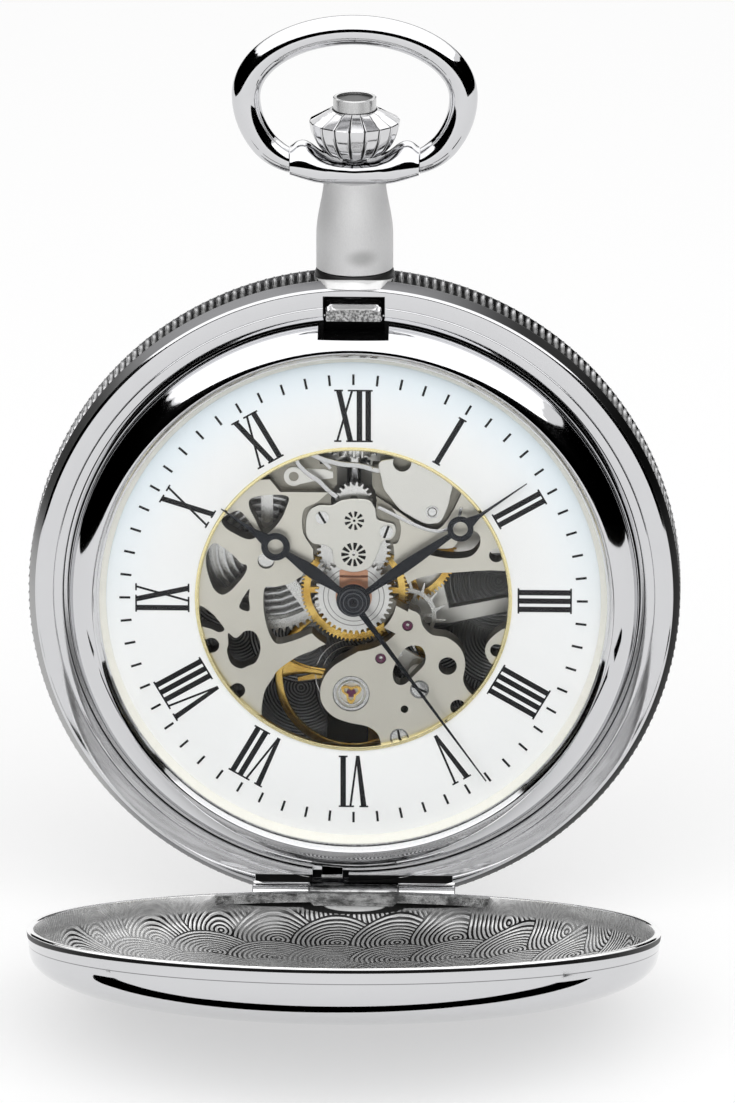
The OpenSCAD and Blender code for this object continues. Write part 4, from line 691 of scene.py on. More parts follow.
# what each part of the frame wears
nodeFinish = {
    "bandSteel": "case_middle", "clearGlass": "front_crystal rear_crystal", "satinSteel": "pendant_neck",
    "polishedSteel": "front_bezel front_cover rear_bezel rear_cover bow crown push_button",
    "darkSteel": "front_hinge_pin rear_hinge_pin push_sleeve winding_stem", "gasketBlack": "crown_gasket",
    "springSteel": "button_spring yoke_spring mainspring click balance_spring", "catchSteel": "front_catch",
    "barSteel": "lift_spring", "screwSteel": "case_screws", "slottedSteel": "movement_screws",
    "bridgeNickel": "movement_ring minute_bridge setting_cover setting_lever yoke barrel_bridge "
                    "train_bridge pallet_bridge",
    "enamelWhite": "dial", "creamRing": "flange_ring", "handBlack": "hour_hand minute_hand second_hand",
    "gold": "dial_ring center_wheel third_wheel fourth_wheel balance_wheel regulator",
    "hourSteel": "hour_wheel", "washerCopper": "dial_washer", "plateNickel": "main_plate",
    "wheelSteel": "cannon_pinion minute_wheel setting_wheel winding_pinion sliding_pinion barrel "
                  "barrel_arbor ratchet_wheel crown_wheel escape_wheel pallet_fork",
    "cockSteel": "balance_cock", "rubyRed": "jewels",
}
for finishName, nodeNames in nodeFinish.items():
    for nodeName in nodeNames.split():
        shown = nodes[nodeName].data
        shown.materials.clear()
        shown.materials.append(materials[finishName])


# Mesh making


def cleanMesh(name, points, faces, thin=True):
    # points are already in the frame; shared corners are joined and faces turned outward
    mesh = bpy.data.meshes.new(name)
    mesh.from_pydata(np.asarray(points).reshape(-1, 3).tolist(), [], faces)
    work = bmesh.new()
    work.from_mesh(mesh)
    bmesh.ops.remove_doubles(work, verts=work.verts, dist=1e-7)
    if thin:
        bmesh.ops.dissolve_degenerate(work, edges=work.edges, dist=1e-8)
    bmesh.ops.recalc_face_normals(work, faces=work.faces)
    work.to_mesh(mesh)
    work.free()
    return mesh


def meshOf(name, points, faces, finishName, sharp=35):
    # a piece of one finish, smooth but for edges sharper than the angle
    mesh = cleanMesh(name, points, faces)
    mesh.materials.append(materials[finishName])
    mesh.shade_smooth()
    mesh.set_sharp_from_angle(angle=math.radians(sharp))
    made = placed(name, mesh)
    return made


def joined(name, parts, finishName, sharp=35):
    # several closed shells kept in one piece
    points, faces, base = [], [], 0
    for p, f in parts:
        p = np.asarray(p).reshape(-1, 3)
        points.append(p)
        faces += [[v + base for v in face] for face in f]
        base += len(p)
    return meshOf(name, np.concatenate(points), faces, finishName, sharp)


def hollow(made, cutters):
    # each cutter is taken out of the piece, then thrown away
    for points, faces in cutters:
        tool = placed("cutter", cleanMesh("cutter", points, faces, False))
        cut = made.modifiers.new("cut", "BOOLEAN")
        cut.operation, cut.object, cut.solver = "DIFFERENCE", tool, "EXACT"
        bpy.context.view_layer.update()
        done = bpy.data.meshes.new_from_object(made.evaluated_get(bpy.context.evaluated_depsgraph_get()))
        made.modifiers.remove(cut)
        old, spent = made.data, tool.data
        made.data = done
        bpy.data.objects.remove(tool)
        for mesh in (old, spent):
            bpy.data.meshes.remove(mesh)


def wear(piece, body, *replaced):
    # the piece rides its body and stands in for the parts that it replaces
    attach(piece, body)
    if replaced:
        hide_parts(*replaced)
    return piece


# Shapes: each gives points and faces


def gridFaces(rows, cols, closeRows=True, closeCols=True):
    # each face joins a point to its neighbours along both parameters
    i, j = np.meshgrid(np.arange(rows if closeRows else rows - 1),
                       np.arange(cols if closeCols else cols - 1),
                       indexing="ij")
    a = i * cols + j
    b = i * cols + (j + 1) % cols
    c = ((i + 1) % rows) * cols + (j + 1) % cols
    d = ((i + 1) % rows) * cols + j
    return np.stack([a, b, c, d], -1).reshape(-1, 4).tolist()


def softened(profile, reach=0.06, steps=4):
    # each corner gives way to a quadratic arc between points a short way along its two sides
    p = np.asarray(profile, float)
    before, after = np.roll(p, 1, 0) - p, np.roll(p, -1, 0) - p
    lengthB, lengthA = np.linalg.norm(before, axis=1), np.linalg.norm(after, axis=1)
    cut = np.minimum(np.minimum(lengthB, lengthA) * 0.45, reach)[:, None]
    start, end = p + before / lengthB[:, None] * cut, p + after / lengthA[:, None] * cut
    t = np.linspace(0, 1, steps)[None, :, None]
    arcs = (1 - t) ** 2 * start[:, None] + 2 * t * (1 - t) * p[:, None] + t ** 2 * end[:, None]
    return arcs.reshape(-1, 2)


def turnedRing(profile, steps=360, place=asDrawn, centre=(0, 0), closed=True):
    # a profile of radius and height carried round an axis square to the dial; an open profile runs from
    # axis to axis
    p = np.asarray(profile, float)
    a = np.linspace(0, 2 * np.pi, steps, endpoint=False)[:, None]
    points = np.stack([centre[0] + p[None, :, 0] * np.cos(a), centre[1] + p[None, :, 0] * np.sin(a),
                       np.broadcast_to(p[None, :, 1], (steps, len(p)))], -1)
    return toFrame(place(points)), gridFaces(steps, len(p), True, closed)


def turnedPost(profile, steps=96, wobble=None, closed=False):
    # a profile of radius and height carried round the pendant's axis; wobble changes both by the angle
    p = np.asarray(profile, float)
    a = np.linspace(0, 2 * np.pi, steps, endpoint=False)[:, None]
    r, h = [np.broadcast_to(p[None, :, k], (steps, len(p))) for k in (0, 1)]
    if wobble is not None:
        r, h = wobble(a, r, h)
    points = np.stack([r * np.sin(a), h, r * np.cos(a)], -1)
    return toFrame(points), gridFaces(steps, len(p), True, closed)


def boxPoints(low, high, side=1, place=asDrawn):
    # the eight corners of a box in the watch's plane, its heights mirrored for the back
    corners = np.array([(x, y, z * side) for x in (low[0], high[0]) for y in (low[1], high[1])
                        for z in (low[2], high[2])])
    faces = [(0, 1, 3, 2), (4, 6, 7, 5), (0, 4, 5, 1), (2, 3, 7, 6), (0, 2, 6, 4), (1, 5, 7, 3)]
    return toFrame(place(corners)), faces


def postPoints(r, y0, y1, steps=64):
    # a cylinder on the pendant's axis
    return turnedPost([(0, y0), (r, y0), (r, y1), (0, y1)], steps)


def layered(rows):
    # outlines of equal count joined upward: each row is an outline and its height
    points = np.concatenate([np.c_[outline, np.full(len(outline), z)] for outline, z in rows])
    return points, gridFaces(len(rows), len(rows[0][0]), False, True)


def prismPoints(outline, z0, z1):
    # an outline carried straight from one height to another
    p = np.asarray(outline, float)
    n = len(p)
    points, sides = layered([(p, z0), (p, z1)])
    return toFrame(points), sides + [list(range(n))[::-1], list(range(n, 2 * n))]


def roundOutline(r, x=0.0, y=0.0, steps=48):
    # a circle round any centre
    a = np.linspace(0, 2 * np.pi, steps, endpoint=False)
    return np.stack([x + r * np.cos(a), y + r * np.sin(a)], -1)


def discPoints(x, y, r, z0, z1, steps=48):
    # a cylinder square to the dial
    return prismPoints(roundOutline(r, x, y, steps), z0, z1)


def washer(x, y, outer, inner, z0, z1, steps=64, edge=0.03):
    # a flat ring with softened edges round any centre
    section = softened([(inner, z0), (outer, z0), (outer, z1), (inner, z1)], edge, 3)
    return turnedRing(section, steps, centre=(x, y))


def rodPoints(r, x0, x1, y, z, place=asDrawn, edge=0.06, steps=40):
    # a rod along x with softened ends
    x = np.array([x0, x0, x0 + edge, x1 - edge, x1, x1])
    rr = np.array([0, r - edge, r, r, r - edge, 0])
    a = np.linspace(0, 2 * np.pi, steps, endpoint=False)[:, None]
    points = np.stack([np.broadcast_to(x, (steps, 6)), y + rr * np.cos(a), z + rr * np.sin(a)], -1)
    return toFrame(place(points)), gridFaces(steps, 6, True, False)


def tubePoints(rings):
    # rings along a tube, its two ends closed at the middles of the first and last
    around = rings.shape[1]
    ends = [np.repeat(rings[k].mean(0)[None], around, 0)[None] for k in (0, -1)]
    points = toFrame(np.concatenate([ends[0], rings, ends[1]]))
    return points, gridFaces(len(points), around, False, True)


def evened(values, count):
    # a running mean weighted by a cosine bell, the ends repeated
    bell = np.hanning(count)
    return np.convolve(np.pad(values, count // 2, "edge"), bell / bell.sum(), "valid")


# Case

# room cut for the catch, the leaf and the hinges as two corners each, for the stem and the pendant as
# radius, foot and top
band = {"bore": 19.4, "neck": 20.59, "neckTop": 3.4, "groove": 1.8, "grooveOut": 21.9, "floor": 2.12,
        "seatIn": 22.3, "seat": 2.4, "lineAt": 22.98, "lineHalf": 0.05, "lineDepth": 0.05,
        "seatOut": 24.24, "seatFall": 0.015, "chamfer": (24.43, 0.12), "out": 24.92,
        "under": [(24.92, 1.57), (24.4, 1.55)], "shoulder": 1.68,
        "boxes": [((-2.33, 20.85, 1.0), (2.33, 23.73, 6)), ((-3.2, -23.3, 1.2), (-0.4, -21.8, 6)),
                  ((-3.43, -25.2, 1.93), (3.43, -23.12, 6)), ((-3.43, -25.2, -6), (3.43, -23.12, -1.93))],
        "bores": [(0.96, 18.0, 26.0), (3.04, 24.3, 27)]}
coin = {"root": 24.55, "crest": 24.98, "foot": 24.4, "half": 1.6, "teeth": 240, "stepsPerTooth": 10,
        "slant": 0.03, "rows": [-1.0, -0.96, -0.5, 0.0, 0.5, 0.96, 1.0], "fade": [0.8, 1, 1, 1, 1, 1, 0.8],
        "boxes": [((-7.9, -26, 1.0), (7.9, -24.0, 1.8)), ((-7.9, -26, -1.8), (7.9, -24.0, -1.0))],
        "bores": [(3.03, 24.2, 27)]}


def bandProfile():
    # seats, grooves and necks of both sides, the back mirrored from the front
    b = band
    front = [(b["bore"], b["neckTop"]), (b["neck"], b["neckTop"]), (b["neck"], b["groove"]),
             (b["grooveOut"] - 0.03, b["groove"]), (b["grooveOut"], b["floor"]),
             (b["seatIn"] - 0.03, b["floor"]), (b["seatIn"], b["seat"]),
             (b["lineAt"] - b["lineHalf"], b["seat"]), (b["lineAt"], b["seat"] - b["lineDepth"]),
             (b["lineAt"] + b["lineHalf"], b["seat"]), (b["seatOut"], b["seat"] - b["seatFall"]),
             (b["chamfer"][0], b["seat"] - b["chamfer"][1]), (b["out"], b["shoulder"])] + b["under"]
    back = [(r, -z) for r, z in front[::-1]]
    return softened(front + back, 0.045, 3)


def makeBand():
    # the profile turned round, less the room of what passes through
    made = meshOf("caseBand", *turnedRing(bandProfile()), "bandSteel", 50)
    hollow(made, [boxPoints(*box) for box in band["boxes"]] + [postPoints(*bore) for bore in band["bores"]])
    wear(made, "frame", "case_middle")


def toothHeight(turn):
    # a tooth of rounded flanks: one less a power of the distance from its middle, low in the gap
    u = np.abs((turn % 1.0) * 2 - 1)
    return np.clip(1.15 * (1 - u ** 1.3), 0, 1)


def makeCoinEdge():
    # upright teeth all round: the wave fades a little where it meets the two faces
    c = coin
    steps = c["teeth"] * c["stepsPerTooth"]
    depth = np.array(c["rows"]) * c["half"]
    a = np.arange(steps) / steps
    wave = toothHeight(a[:, None] * c["teeth"] + depth[None, :] * c["slant"] * 2) * np.array(c["fade"])
    r = c["root"] + (c["crest"] - c["root"]) * wave
    low = np.full((steps, 1), c["foot"])
    r = np.concatenate([low, r, low], 1)
    z = np.broadcast_to(np.concatenate([[-c["half"]], depth, [c["half"]]]), r.shape)
    ang = a[:, None] * 2 * np.pi
    points = toFrame(np.stack([r * np.cos(ang), r * np.sin(ang), z], -1))
    made = meshOf("coinEdge", points, gridFaces(steps, r.shape[1]), "coinSteel", 60)
    hollow(made, [postPoints(*bore) for bore in c["bores"]] + [boxPoints(*box) for box in c["boxes"]])
    wear(made, "frame")


bezel = {"foot": 21.84, "footZ": 1.82, "in": 20.0, "middle": 19.3, "top": 4.8, "springZ": 2.45,
         "bore": 20.65, "bevel": [(19.94, 4.8), (19.8, 4.7), (19.62, 4.5), (19.56, 4.45)], "lip": 19.56,
         "glassSeat": 4.3, "glass": 19.42, "under": 4.17, "steps": 16,
         "catchRoom": ((-2.7, 20.86, 1.0), (2.7, 24, 6))}


def bezelProfile(side):
    # part of an ellipse about the middle radius, from the foot up to the crest, then a bevel to the glass
    b = bezel
    last = math.acos((b["in"] - b["middle"]) / (b["foot"] - b["middle"]))
    t = np.linspace(0, last, b["steps"])
    rise = np.stack([b["middle"] + (b["foot"] - b["middle"]) * np.cos(t),
                     b["springZ"] + (b["top"] - b["springZ"]) * np.sin(t) / math.sin(last)], -1)
    tail = b["bevel"] + [(b["lip"], b["glassSeat"]), (b["glass"], b["glassSeat"]), (b["glass"], b["under"]),
                         (b["bore"], b["under"]), (b["bore"], b["footZ"]), (b["foot"], b["footZ"])]
    return np.concatenate([rise, tail]) * [1, side]


def makeBezels():
    # the same turned profile on both sides, the front one notched for the catch
    for name, node, side in (("frontBezel", "front_bezel", 1), ("rearBezel", "rear_bezel", -1)):
        made = meshOf(name, *turnedRing(bezelProfile(side)), "polishedSteel", 40)
        if side > 0:
            hollow(made, [boxPoints(*bezel["catchRoom"])])
        wear(made, "frame", node)


# Covers

cover = {"r": 23.9, "thick": 0.55, "wall": 1.3, "power": 2.5, "front": 6.0, "tilt": 0.18, "rear": 6.0,
         "steps": 40, "rimZ": 2.45, "easeIn": 0.08, "easeOut": 0.09, "liningFrom": 2.56,
         "plateX": 10.5, "plateSteps": 40, "plateOut": 0.3, "plateIn": 22.09, "plateZ": (2.47, 3.14),
         "knuckle": 0.8, "knuckleX": 3.4, "backing": (1.0, 2.47, 3.55)}


def domeLine(r, h):
    # superellipse from the rim in to the axis
    t = np.linspace(0, np.pi / 2, cover["steps"])
    p = cover["power"]
    return np.stack([r * np.cos(t) ** (2 / p), h * np.sin(t) ** (2 / p)], -1)


def coverPoints(height, side):
    # the inner dome out from the axis to the rim and the outer one back
    c = cover
    z0, bore = c["rimZ"], c["r"] - c["thick"]
    outer = domeLine(c["r"] - c["tilt"], height - c["wall"])
    inner = domeLine(c["r"] - c["thick"] - c["tilt"], height - c["wall"] - c["thick"])
    for dome in (outer, inner):
        dome[:, 1] += z0 + c["wall"]
    rim = [(bore, z0 + c["easeIn"]), (bore + c["easeIn"], z0),
           (c["r"] - c["easeOut"], z0), (c["r"], z0 + c["easeOut"])]
    return np.concatenate([inner[::-1], rim, outer]) * [1, side]


def platePoints(place, side):
    # the flat strip between the rim's chord and the wall, at the hinge
    c = cover
    x = np.linspace(-c["plateX"], c["plateX"], c["plateSteps"] + 1)
    wall = -np.sqrt((c["r"] - c["plateOut"]) ** 2 - x ** 2)
    inner = -np.sqrt(c["plateIn"] ** 2 - x ** 2)
    outline = np.concatenate([np.stack([x, wall], -1), np.stack([x, inner], -1)[::-1]])
    p, sides = layered([(outline, z) for z in c["plateZ"]])
    n, k = len(outline), np.arange(c["plateSteps"])
    strips = np.stack([k, k + 1, n - 2 - k, n - 1 - k], -1)
    return toFrame(place(p * [1, 1, side])), sides + strips[:, ::-1].tolist() + (strips + n).tolist()


def makeCovers():
    # two turned domes lined inside, each with its hinge barrel, plate and backing; the front one is open
    c = cover
    axis, back = -watch["hingeY"], c["backing"]
    for name, body, node, height, side, place, outside, inside in (
            ("frontCover", "front_lid", "front_cover", c["front"], 1, openCover, "coverSteel",
             "coverGrain"),
            ("rearCover", "rear_lid", "rear_cover", c["rear"], -1, asDrawn, "rearSteel", "rearGrain")):
        shell = meshOf(name, *turnedRing(coverPoints(height, side), place=place, closed=False), outside, 50)
        shell.data.materials.append(materials[inside])
        paintInside(shell, side)
        low, high = (-c["knuckleX"], axis, back[1]), (c["knuckleX"], axis + back[0], back[2])
        barrel = rodPoints(c["knuckle"], -c["knuckleX"], c["knuckleX"], axis, watch["hingeZ"] * side, place)
        extra = joined(name + "Hinge", [barrel, platePoints(place, side),
                                        boxPoints(low, high, side, place)],
                       "brushedPlate")
        if side < 0:
            wear(makeLip(), body)
        wear(shell, body, node)
        wear(extra, body)


def faceRows(mesh, what):
    # one row of three numbers for each face: its centre or its normal
    rows = np.zeros(len(mesh.polygons) * 3)
    mesh.polygons.foreach_get(what, rows)
    return rows.reshape(-1, 3)


def paintInside(shell, side):
    # faces that look toward the watch's middle and stand above the rim take the lining
    mesh = shell.data
    centres, normals = faceRows(mesh, "center") * 1000, faceRows(mesh, "normal")
    x, y, z = centres[:, 0], centres[:, 2] + watch["hang"], -centres[:, 1]
    nx, ny, nz = normals[:, 0], normals[:, 2], -normals[:, 1]
    if side > 0:
        x, y, z = closeCover(x, y, z)
        ny, nz = leanBack(ny, nz)
    inward = (nx * x + ny * y + nz * z) < 0
    mesh.polygons.foreach_set("material_index",
                              (inward & (np.abs(z) > cover["liningFrom"])).astype(np.int32))


lip = {"at": 120, "reach": 7.2, "r": 23.85, "bulge": 0.55, "inside": 23.6, "low": -2.95, "high": -2.47,
       "points": 33}


def makeLip():
    # the thumb lip follows the rim of the rear cover, its outline a flat arch
    t = np.radians(lip["at"] + np.linspace(-lip["reach"], lip["reach"], lip["points"]))
    bulge = lip["bulge"] * np.sqrt(np.clip(1 - (np.linspace(-1, 1, lip["points"])) ** 4, 0, 1))
    outer = np.stack([(lip["r"] + bulge) * np.cos(t), (lip["r"] + bulge) * np.sin(t)], -1)
    inner = np.stack([lip["inside"] * np.cos(t), lip["inside"] * np.sin(t)], -1)
    points, faces = prismPoints(np.concatenate([outer, inner[::-1]]), lip["low"], lip["high"])
    return meshOf("thumbLip", points, faces, "polishedSteel")


# the fixed knuckles: how far they reach along x, and the two blocks under each as y and z from and to
hinge = {"r": 0.8, "x": ((-7.8, -3.45), (3.45, 7.8)), "inset": 0.02,
         "blocks": [((-24.74, 1.0), (-22.6, 2.37)), ((-24.73, 2.3), (-23.97, 2.75))]}


def makeHinges():
    # four rods on the two hinge axes, each on its blocks
    parts = []
    for side in (1, -1):
        for x0, x1 in hinge["x"]:
            parts.append(rodPoints(hinge["r"], x0, x1, -watch["hingeY"], watch["hingeZ"] * side))
            for low, high in hinge["blocks"]:
                parts.append(boxPoints((x0 + hinge["inset"], *low), (x1 - hinge["inset"], *high), side))
    wear(joined("hingeKnuckles", parts, "barSteel"), "frame")


# brow and face: shares of the block's width and of its height above its lower edge
catch = {"half": 2.18, "low": 22.0, "high": 23.6, "under": 1.1, "shoulder": 2.36, "front": 3.04,
         "round": 0.45, "brow": (0.985, 0.78), "browRise": 0.08, "face": (0.955, 0.56), "roughFrom": 2.9,
         "foot": [(1.05, 23.2), (2.0, 23.2), (2.0, 25.4), (1.05, 25.4), (1.05, 23.2)]}


def makeCatch():
    # a block with two rounded top corners, its front drawn in to leave a sloping brow
    c = catch
    t = np.linspace(0, np.pi / 2, 8)
    arc = np.stack([c["half"] - c["round"] * (1 - np.cos(t)), c["high"] - c["round"] * (1 - np.sin(t))], -1)
    right, left = [(c["half"], c["low"])], [(-c["half"], c["low"])]
    outline = np.concatenate([right, arc, (arc * [-1, 1])[::-1], left])
    brow, inset = [np.stack([outline[:, 0] * wide, c["low"] + (outline[:, 1] - c["low"]) * tall], -1)
                   for wide, tall in (c["brow"], c["face"])]
    corners = list(range(len(outline)))
    points, sides = layered([(outline, c["under"]), (outline, c["shoulder"]),
                             (brow, c["shoulder"] + c["browRise"]), (inset, c["front"])])
    face = (toFrame(np.c_[inset, np.full(len(inset), c["front"])]), [corners])
    made = joined("catchBlock", [(toFrame(points), sides + [corners[::-1]]), face], "barSteel", 30)
    made.data.materials.append(materials["catchSteel"])
    for p in made.data.polygons:
        if p.normal.y < -0.95 and p.center.y < -c["roughFrom"] / 1000:
            p.material_index = 1
    foot = joined("catchFoot", [turnedPost(c["foot"], 48)], "darkSteel")
    wear(made, "catch", "front_catch")
    wear(foot, "catch")


# Pendant, crown and bow

neck = {"foot": 25.5, "top": 32.5, "slim": 2.34, "full": 2.93, "fullAt": 28.0, "swell": 0.85, "rise": 0.05,
        "base": [(2.86, 25.5), (2.2, 25.45), (2.08, 24.3), (0, 24.3)]}
boss = {"profile": [(0, 23.9), (3.02, 23.9), (3.02, 24.9), (3.0, 25.1), (2.97, 25.3), (2.9, 25.42),
                    (2.75, 25.47), (0, 25.47)],
        "bore": (2.08, 23, 27), "catchRoom": ((-2.33, 20.85, 1.0), (2.33, 23.95, 6)), "seat": 24.49,
        "seatZ": (2.3, 5)}


def makeNeck():
    # the tube swells from a slim top to a full foot along half a cosine
    n, b = neck, boss
    y = np.linspace(n["top"], n["foot"] + n["rise"], 24)
    s = np.clip((n["top"] - y) / (n["top"] - n["fullAt"]), 0, 1)
    r = n["slim"] + (n["full"] - n["slim"]) * (0.5 - 0.5 * np.cos(np.pi * s)) ** n["swell"]
    profile = [(0, n["top"])] + list(zip(r, y)) + n["base"]
    wear(meshOf("pendantNeck", *turnedPost(profile, 128), "satinSteel", 40), "frame", "pendant_neck")
    made = meshOf("pendantBoss", *turnedPost(b["profile"], 128), "bossSteel", 40)
    low, high = b["seatZ"]
    hollow(made, [postPoints(*b["bore"]), boxPoints(*b["catchRoom"]),
                  discPoints(0, 0, b["seat"], low, high, 180),
                  discPoints(0, 0, b["seat"], -high, -low, 180)])
    wear(made, "frame")


# lines of the bar at places from its middle outward, the same on both sides; flat is where the
# shoulders end
saddle = {"x": 4.9, "steps": 97, "around": 48, "flat": 34.25, "power": 2.9, "dish": 0.25, "dishX": 3.2,
          "top": ([0, 1.5, 2.0, 2.5, 3.0, 3.4, 3.8, 4.3, 4.6, 4.9],
                  [34.1, 34.2, 34.32, 34.55, 34.95, 35.25, 35.45, 35.4, 35.2, 34.88]),
          "low": ([0, 2.4, 3.0, 3.8, 4.5, 4.9], [32.2, 32.2, 32.28, 32.5, 32.72, 32.86]),
          "depth": ([0, 2.0, 3.5, 4.9], [1.85, 1.8, 1.62, 1.4]),
          "stemHole": (0.96, 32, 36), "pinHole": 0.76, "pinX": (3.2, 5.2)}
bow = {"halfWidth": 8.25, "up": 5.2, "mid": 38.9, "axis": 33.65, "endX": 4.96, "pinMiddle": 5.25,
       "wire": 1.14, "endHalf": 0.99, "endUp": 0.4, "swingFrom": 0.86, "steps": 241, "around": 36,
       "pin": 0.7, "pinX": (3.55, 5.1)}


def makeSaddle():
    # cross sections along the bar: a superellipse whose height, depth and middle change with x
    s = saddle
    x = np.linspace(-s["x"], s["x"], s["steps"])
    ax = np.abs(x)
    top, low, depth = [evened(np.interp(ax, *s[line]), 9) for line in ("top", "low", "depth")]
    b = np.linspace(0, 2 * np.pi, s["around"], endpoint=False)[None, :]
    cy, cz = [np.sign(wave) * np.abs(wave) ** (2 / s["power"]) for wave in (np.cos(b), np.sin(b))]
    # the front and back shoulders stay level and the humps rise between them
    flat = np.minimum(top, s["flat"])
    mid, half = ((flat + low) / 2)[:, None], ((flat - low) / 2)[:, None]
    z = depth[:, None] * cz
    hump = np.clip(1 - (z / depth[:, None]) ** 2, 0, 1) ** 0.8
    y = mid + half * cy + (top - flat)[:, None] * hump * (cy > 0)
    # the dish for the crown: the top sinks between its front and back edges
    inner = np.clip(1 - (z / (depth[:, None] * 0.8)) ** 2, 0, 1) * np.clip(cy, 0, 1)
    y = y - inner * s["dish"] * np.clip(1 - ax[:, None] / s["dishX"], 0, 1)
    rings = np.stack([np.broadcast_to(x[:, None], y.shape), y, z], -1)
    ends = [np.broadcast_to([x[k], mid[k, 0], 0.0], rings[:1].shape) for k in (0, -1)]
    body = toFrame(np.concatenate([ends[0], rings, ends[1]]))
    made = meshOf("bowSaddle", body, gridFaces(len(body), s["around"], False, True), "polishedSteel", 48)
    near, far = s["pinX"]
    hollow(made, [turnedPost(crownShape["room"], 72), postPoints(*s["stemHole"]),
                  rodPoints(s["pinHole"], near, far, bow["axis"], 0, steps=32),
                  rodPoints(s["pinHole"], -far, -near, bow["axis"], 0, steps=32)])
    wear(made, "frame")


def crownWobble(a, r, h):
    # flat facets: radius over the cosine of the angle from the facet's middle, less a groove at its edges
    pitch = 2 * np.pi / crownShape["ribs"]
    u = ((a - math.radians(crownShape["start"])) / pitch) % 1.0
    local = (u - 0.5) * pitch
    flat = np.cos(pitch / 2) / np.cos(local)
    wide = 0.05 + 0.05 * np.clip((36.9 - h) / 2, 0, 1)
    edge = np.exp(-((np.minimum(u, 1 - u)) / wide) ** 2)
    live = (r > 1.78) * 1.0
    bulge = 1 + live * (flat - 1)
    sink = live * edge * crownShape["grooveDepth"] * np.clip((r - 1.75) / 0.5, 0, 1)
    steep = np.clip((h - 37.02) / 0.2, 0, 1)
    return r * bulge - sink * (1 - 0.2 * steep), h - sink * 0.45 * steep


# the button's head, its rod down to the sleeve and the pin across the rod
button = {"head": [(0, 38.66), (1.3, 38.66), (1.36, 38.68), (1.38, 38.88), (1.44, 38.9), (1.58, 38.9),
                   (1.64, 38.84), (1.64, 36.9), (1.38, 36.9), (1.38, 37.75), (0.94, 37.75), (0.94, 36.9),
                   (0, 36.9)],
          "rod": [(0, 36.95), (0.4, 36.95), (0.4, 27.7), (0, 27.7)], "pin": (0.2, -1.5, 1.5, 28.0, 0)}


def makeCrown():
    # the crown's line turned with its facets, and the button turned plain inside it
    c = crownShape
    points, faces = turnedPost(c["outside"] + c["inside"], c["ribs"] * c["stepsPerRib"], crownWobble, True)
    wear(meshOf("crown", points, faces, "crownSteel", 22), "crown_set", "crown")
    parts = [turnedPost(button["head"]), turnedPost(button["rod"], 24), rodPoints(*button["pin"], steps=16)]
    wear(joined("pushButton", parts, "buttonSteel", 40), "button", "push_button")


def makeBow():
    # two half ellipses carry a round wire that thins to its ends, which are cut upright at the ears
    b = bow
    down = (b["mid"] - b["axis"]) / math.sqrt(1 - (b["pinMiddle"] / b["halfWidth"]) ** 2)
    last = math.pi - math.asin(b["endX"] / b["halfWidth"])
    t = np.linspace(-last, last, b["steps"])
    half = np.where(np.cos(t) > 0, b["up"], down)
    x, y = b["halfWidth"] * np.sin(t), b["mid"] + half * np.cos(t)
    out = np.stack([half * np.sin(t), b["halfWidth"] * np.cos(t)], -1)
    out /= np.linalg.norm(out, axis=1)[:, None]
    # toward the ends the sections swing round to stand upright against the ears
    swing = np.clip((np.abs(t) / last - b["swingFrom"]) / (1 - b["swingFrom"]), 0, 1) ** 1.5
    out = out * (1 - swing[:, None]) + np.array([0.0, -1.0]) * swing[:, None]
    out /= np.linalg.norm(out, axis=1)[:, None]
    y = y + b["endUp"] * swing
    w = b["endHalf"] + (b["wire"] - b["endHalf"]) * np.clip(1.7 * (1 - np.abs(t) / last), 0, 1) ** 0.8
    k = np.linspace(0, 2 * np.pi, b["around"], endpoint=False)[None, :]
    across = w[:, None] * np.cos(k)
    rings = np.stack([x[:, None] + across * out[:, :1], y[:, None] + across * out[:, 1:],
                      w[:, None] * np.sin(k)], -1)
    near, far = b["pinX"]
    pins = [rodPoints(b["pin"], x0, x1, b["axis"], 0, steps=24) for x0, x1 in ((near, far), (-far, -near))]
    wear(joined("bow", [tubePoints(rings)] + pins, "polishedSteel", 50), "bow_ring", "bow")


makeBand()
makeCoinEdge()
makeBezels()
makeCovers()
makeHinges()
makeCatch()
print("case made")
makeNeck()
makeSaddle()
makeCrown()
makeBow()
print("pendant made")


# Dial

dialPrint = {"face": 3.4, "inner": 12.55, "outer": 16.7, "wide": 1.34, "thick": 0.42, "thin": 0.17,
             "serif": 0.13, "serifOut": 0.13, "gap": 0.25, "tickIn": 17.08, "tickOut": 17.92,
             "tickWidth": 0.18, "sink": 0.01, "raise": 0.015, "step": 0.0004}
hourWords = ["XII", "I", "II", "III", "IIII", "V", "VI", "VII", "VIII", "IX", "X", "XI"]


def slanted(x0, x1, x2, x3, y0, y1):
    # a stroke from the foot x0..x1 to the head x2..x3
    return np.array([(x0, y0), (x1, y0), (x3, y1), (x2, y1)])


def upright(x0, x1, y0, y1):
    # a stroke whose head stands over its foot
    return slanted(x0, x1, x0, x1, y0, y1)


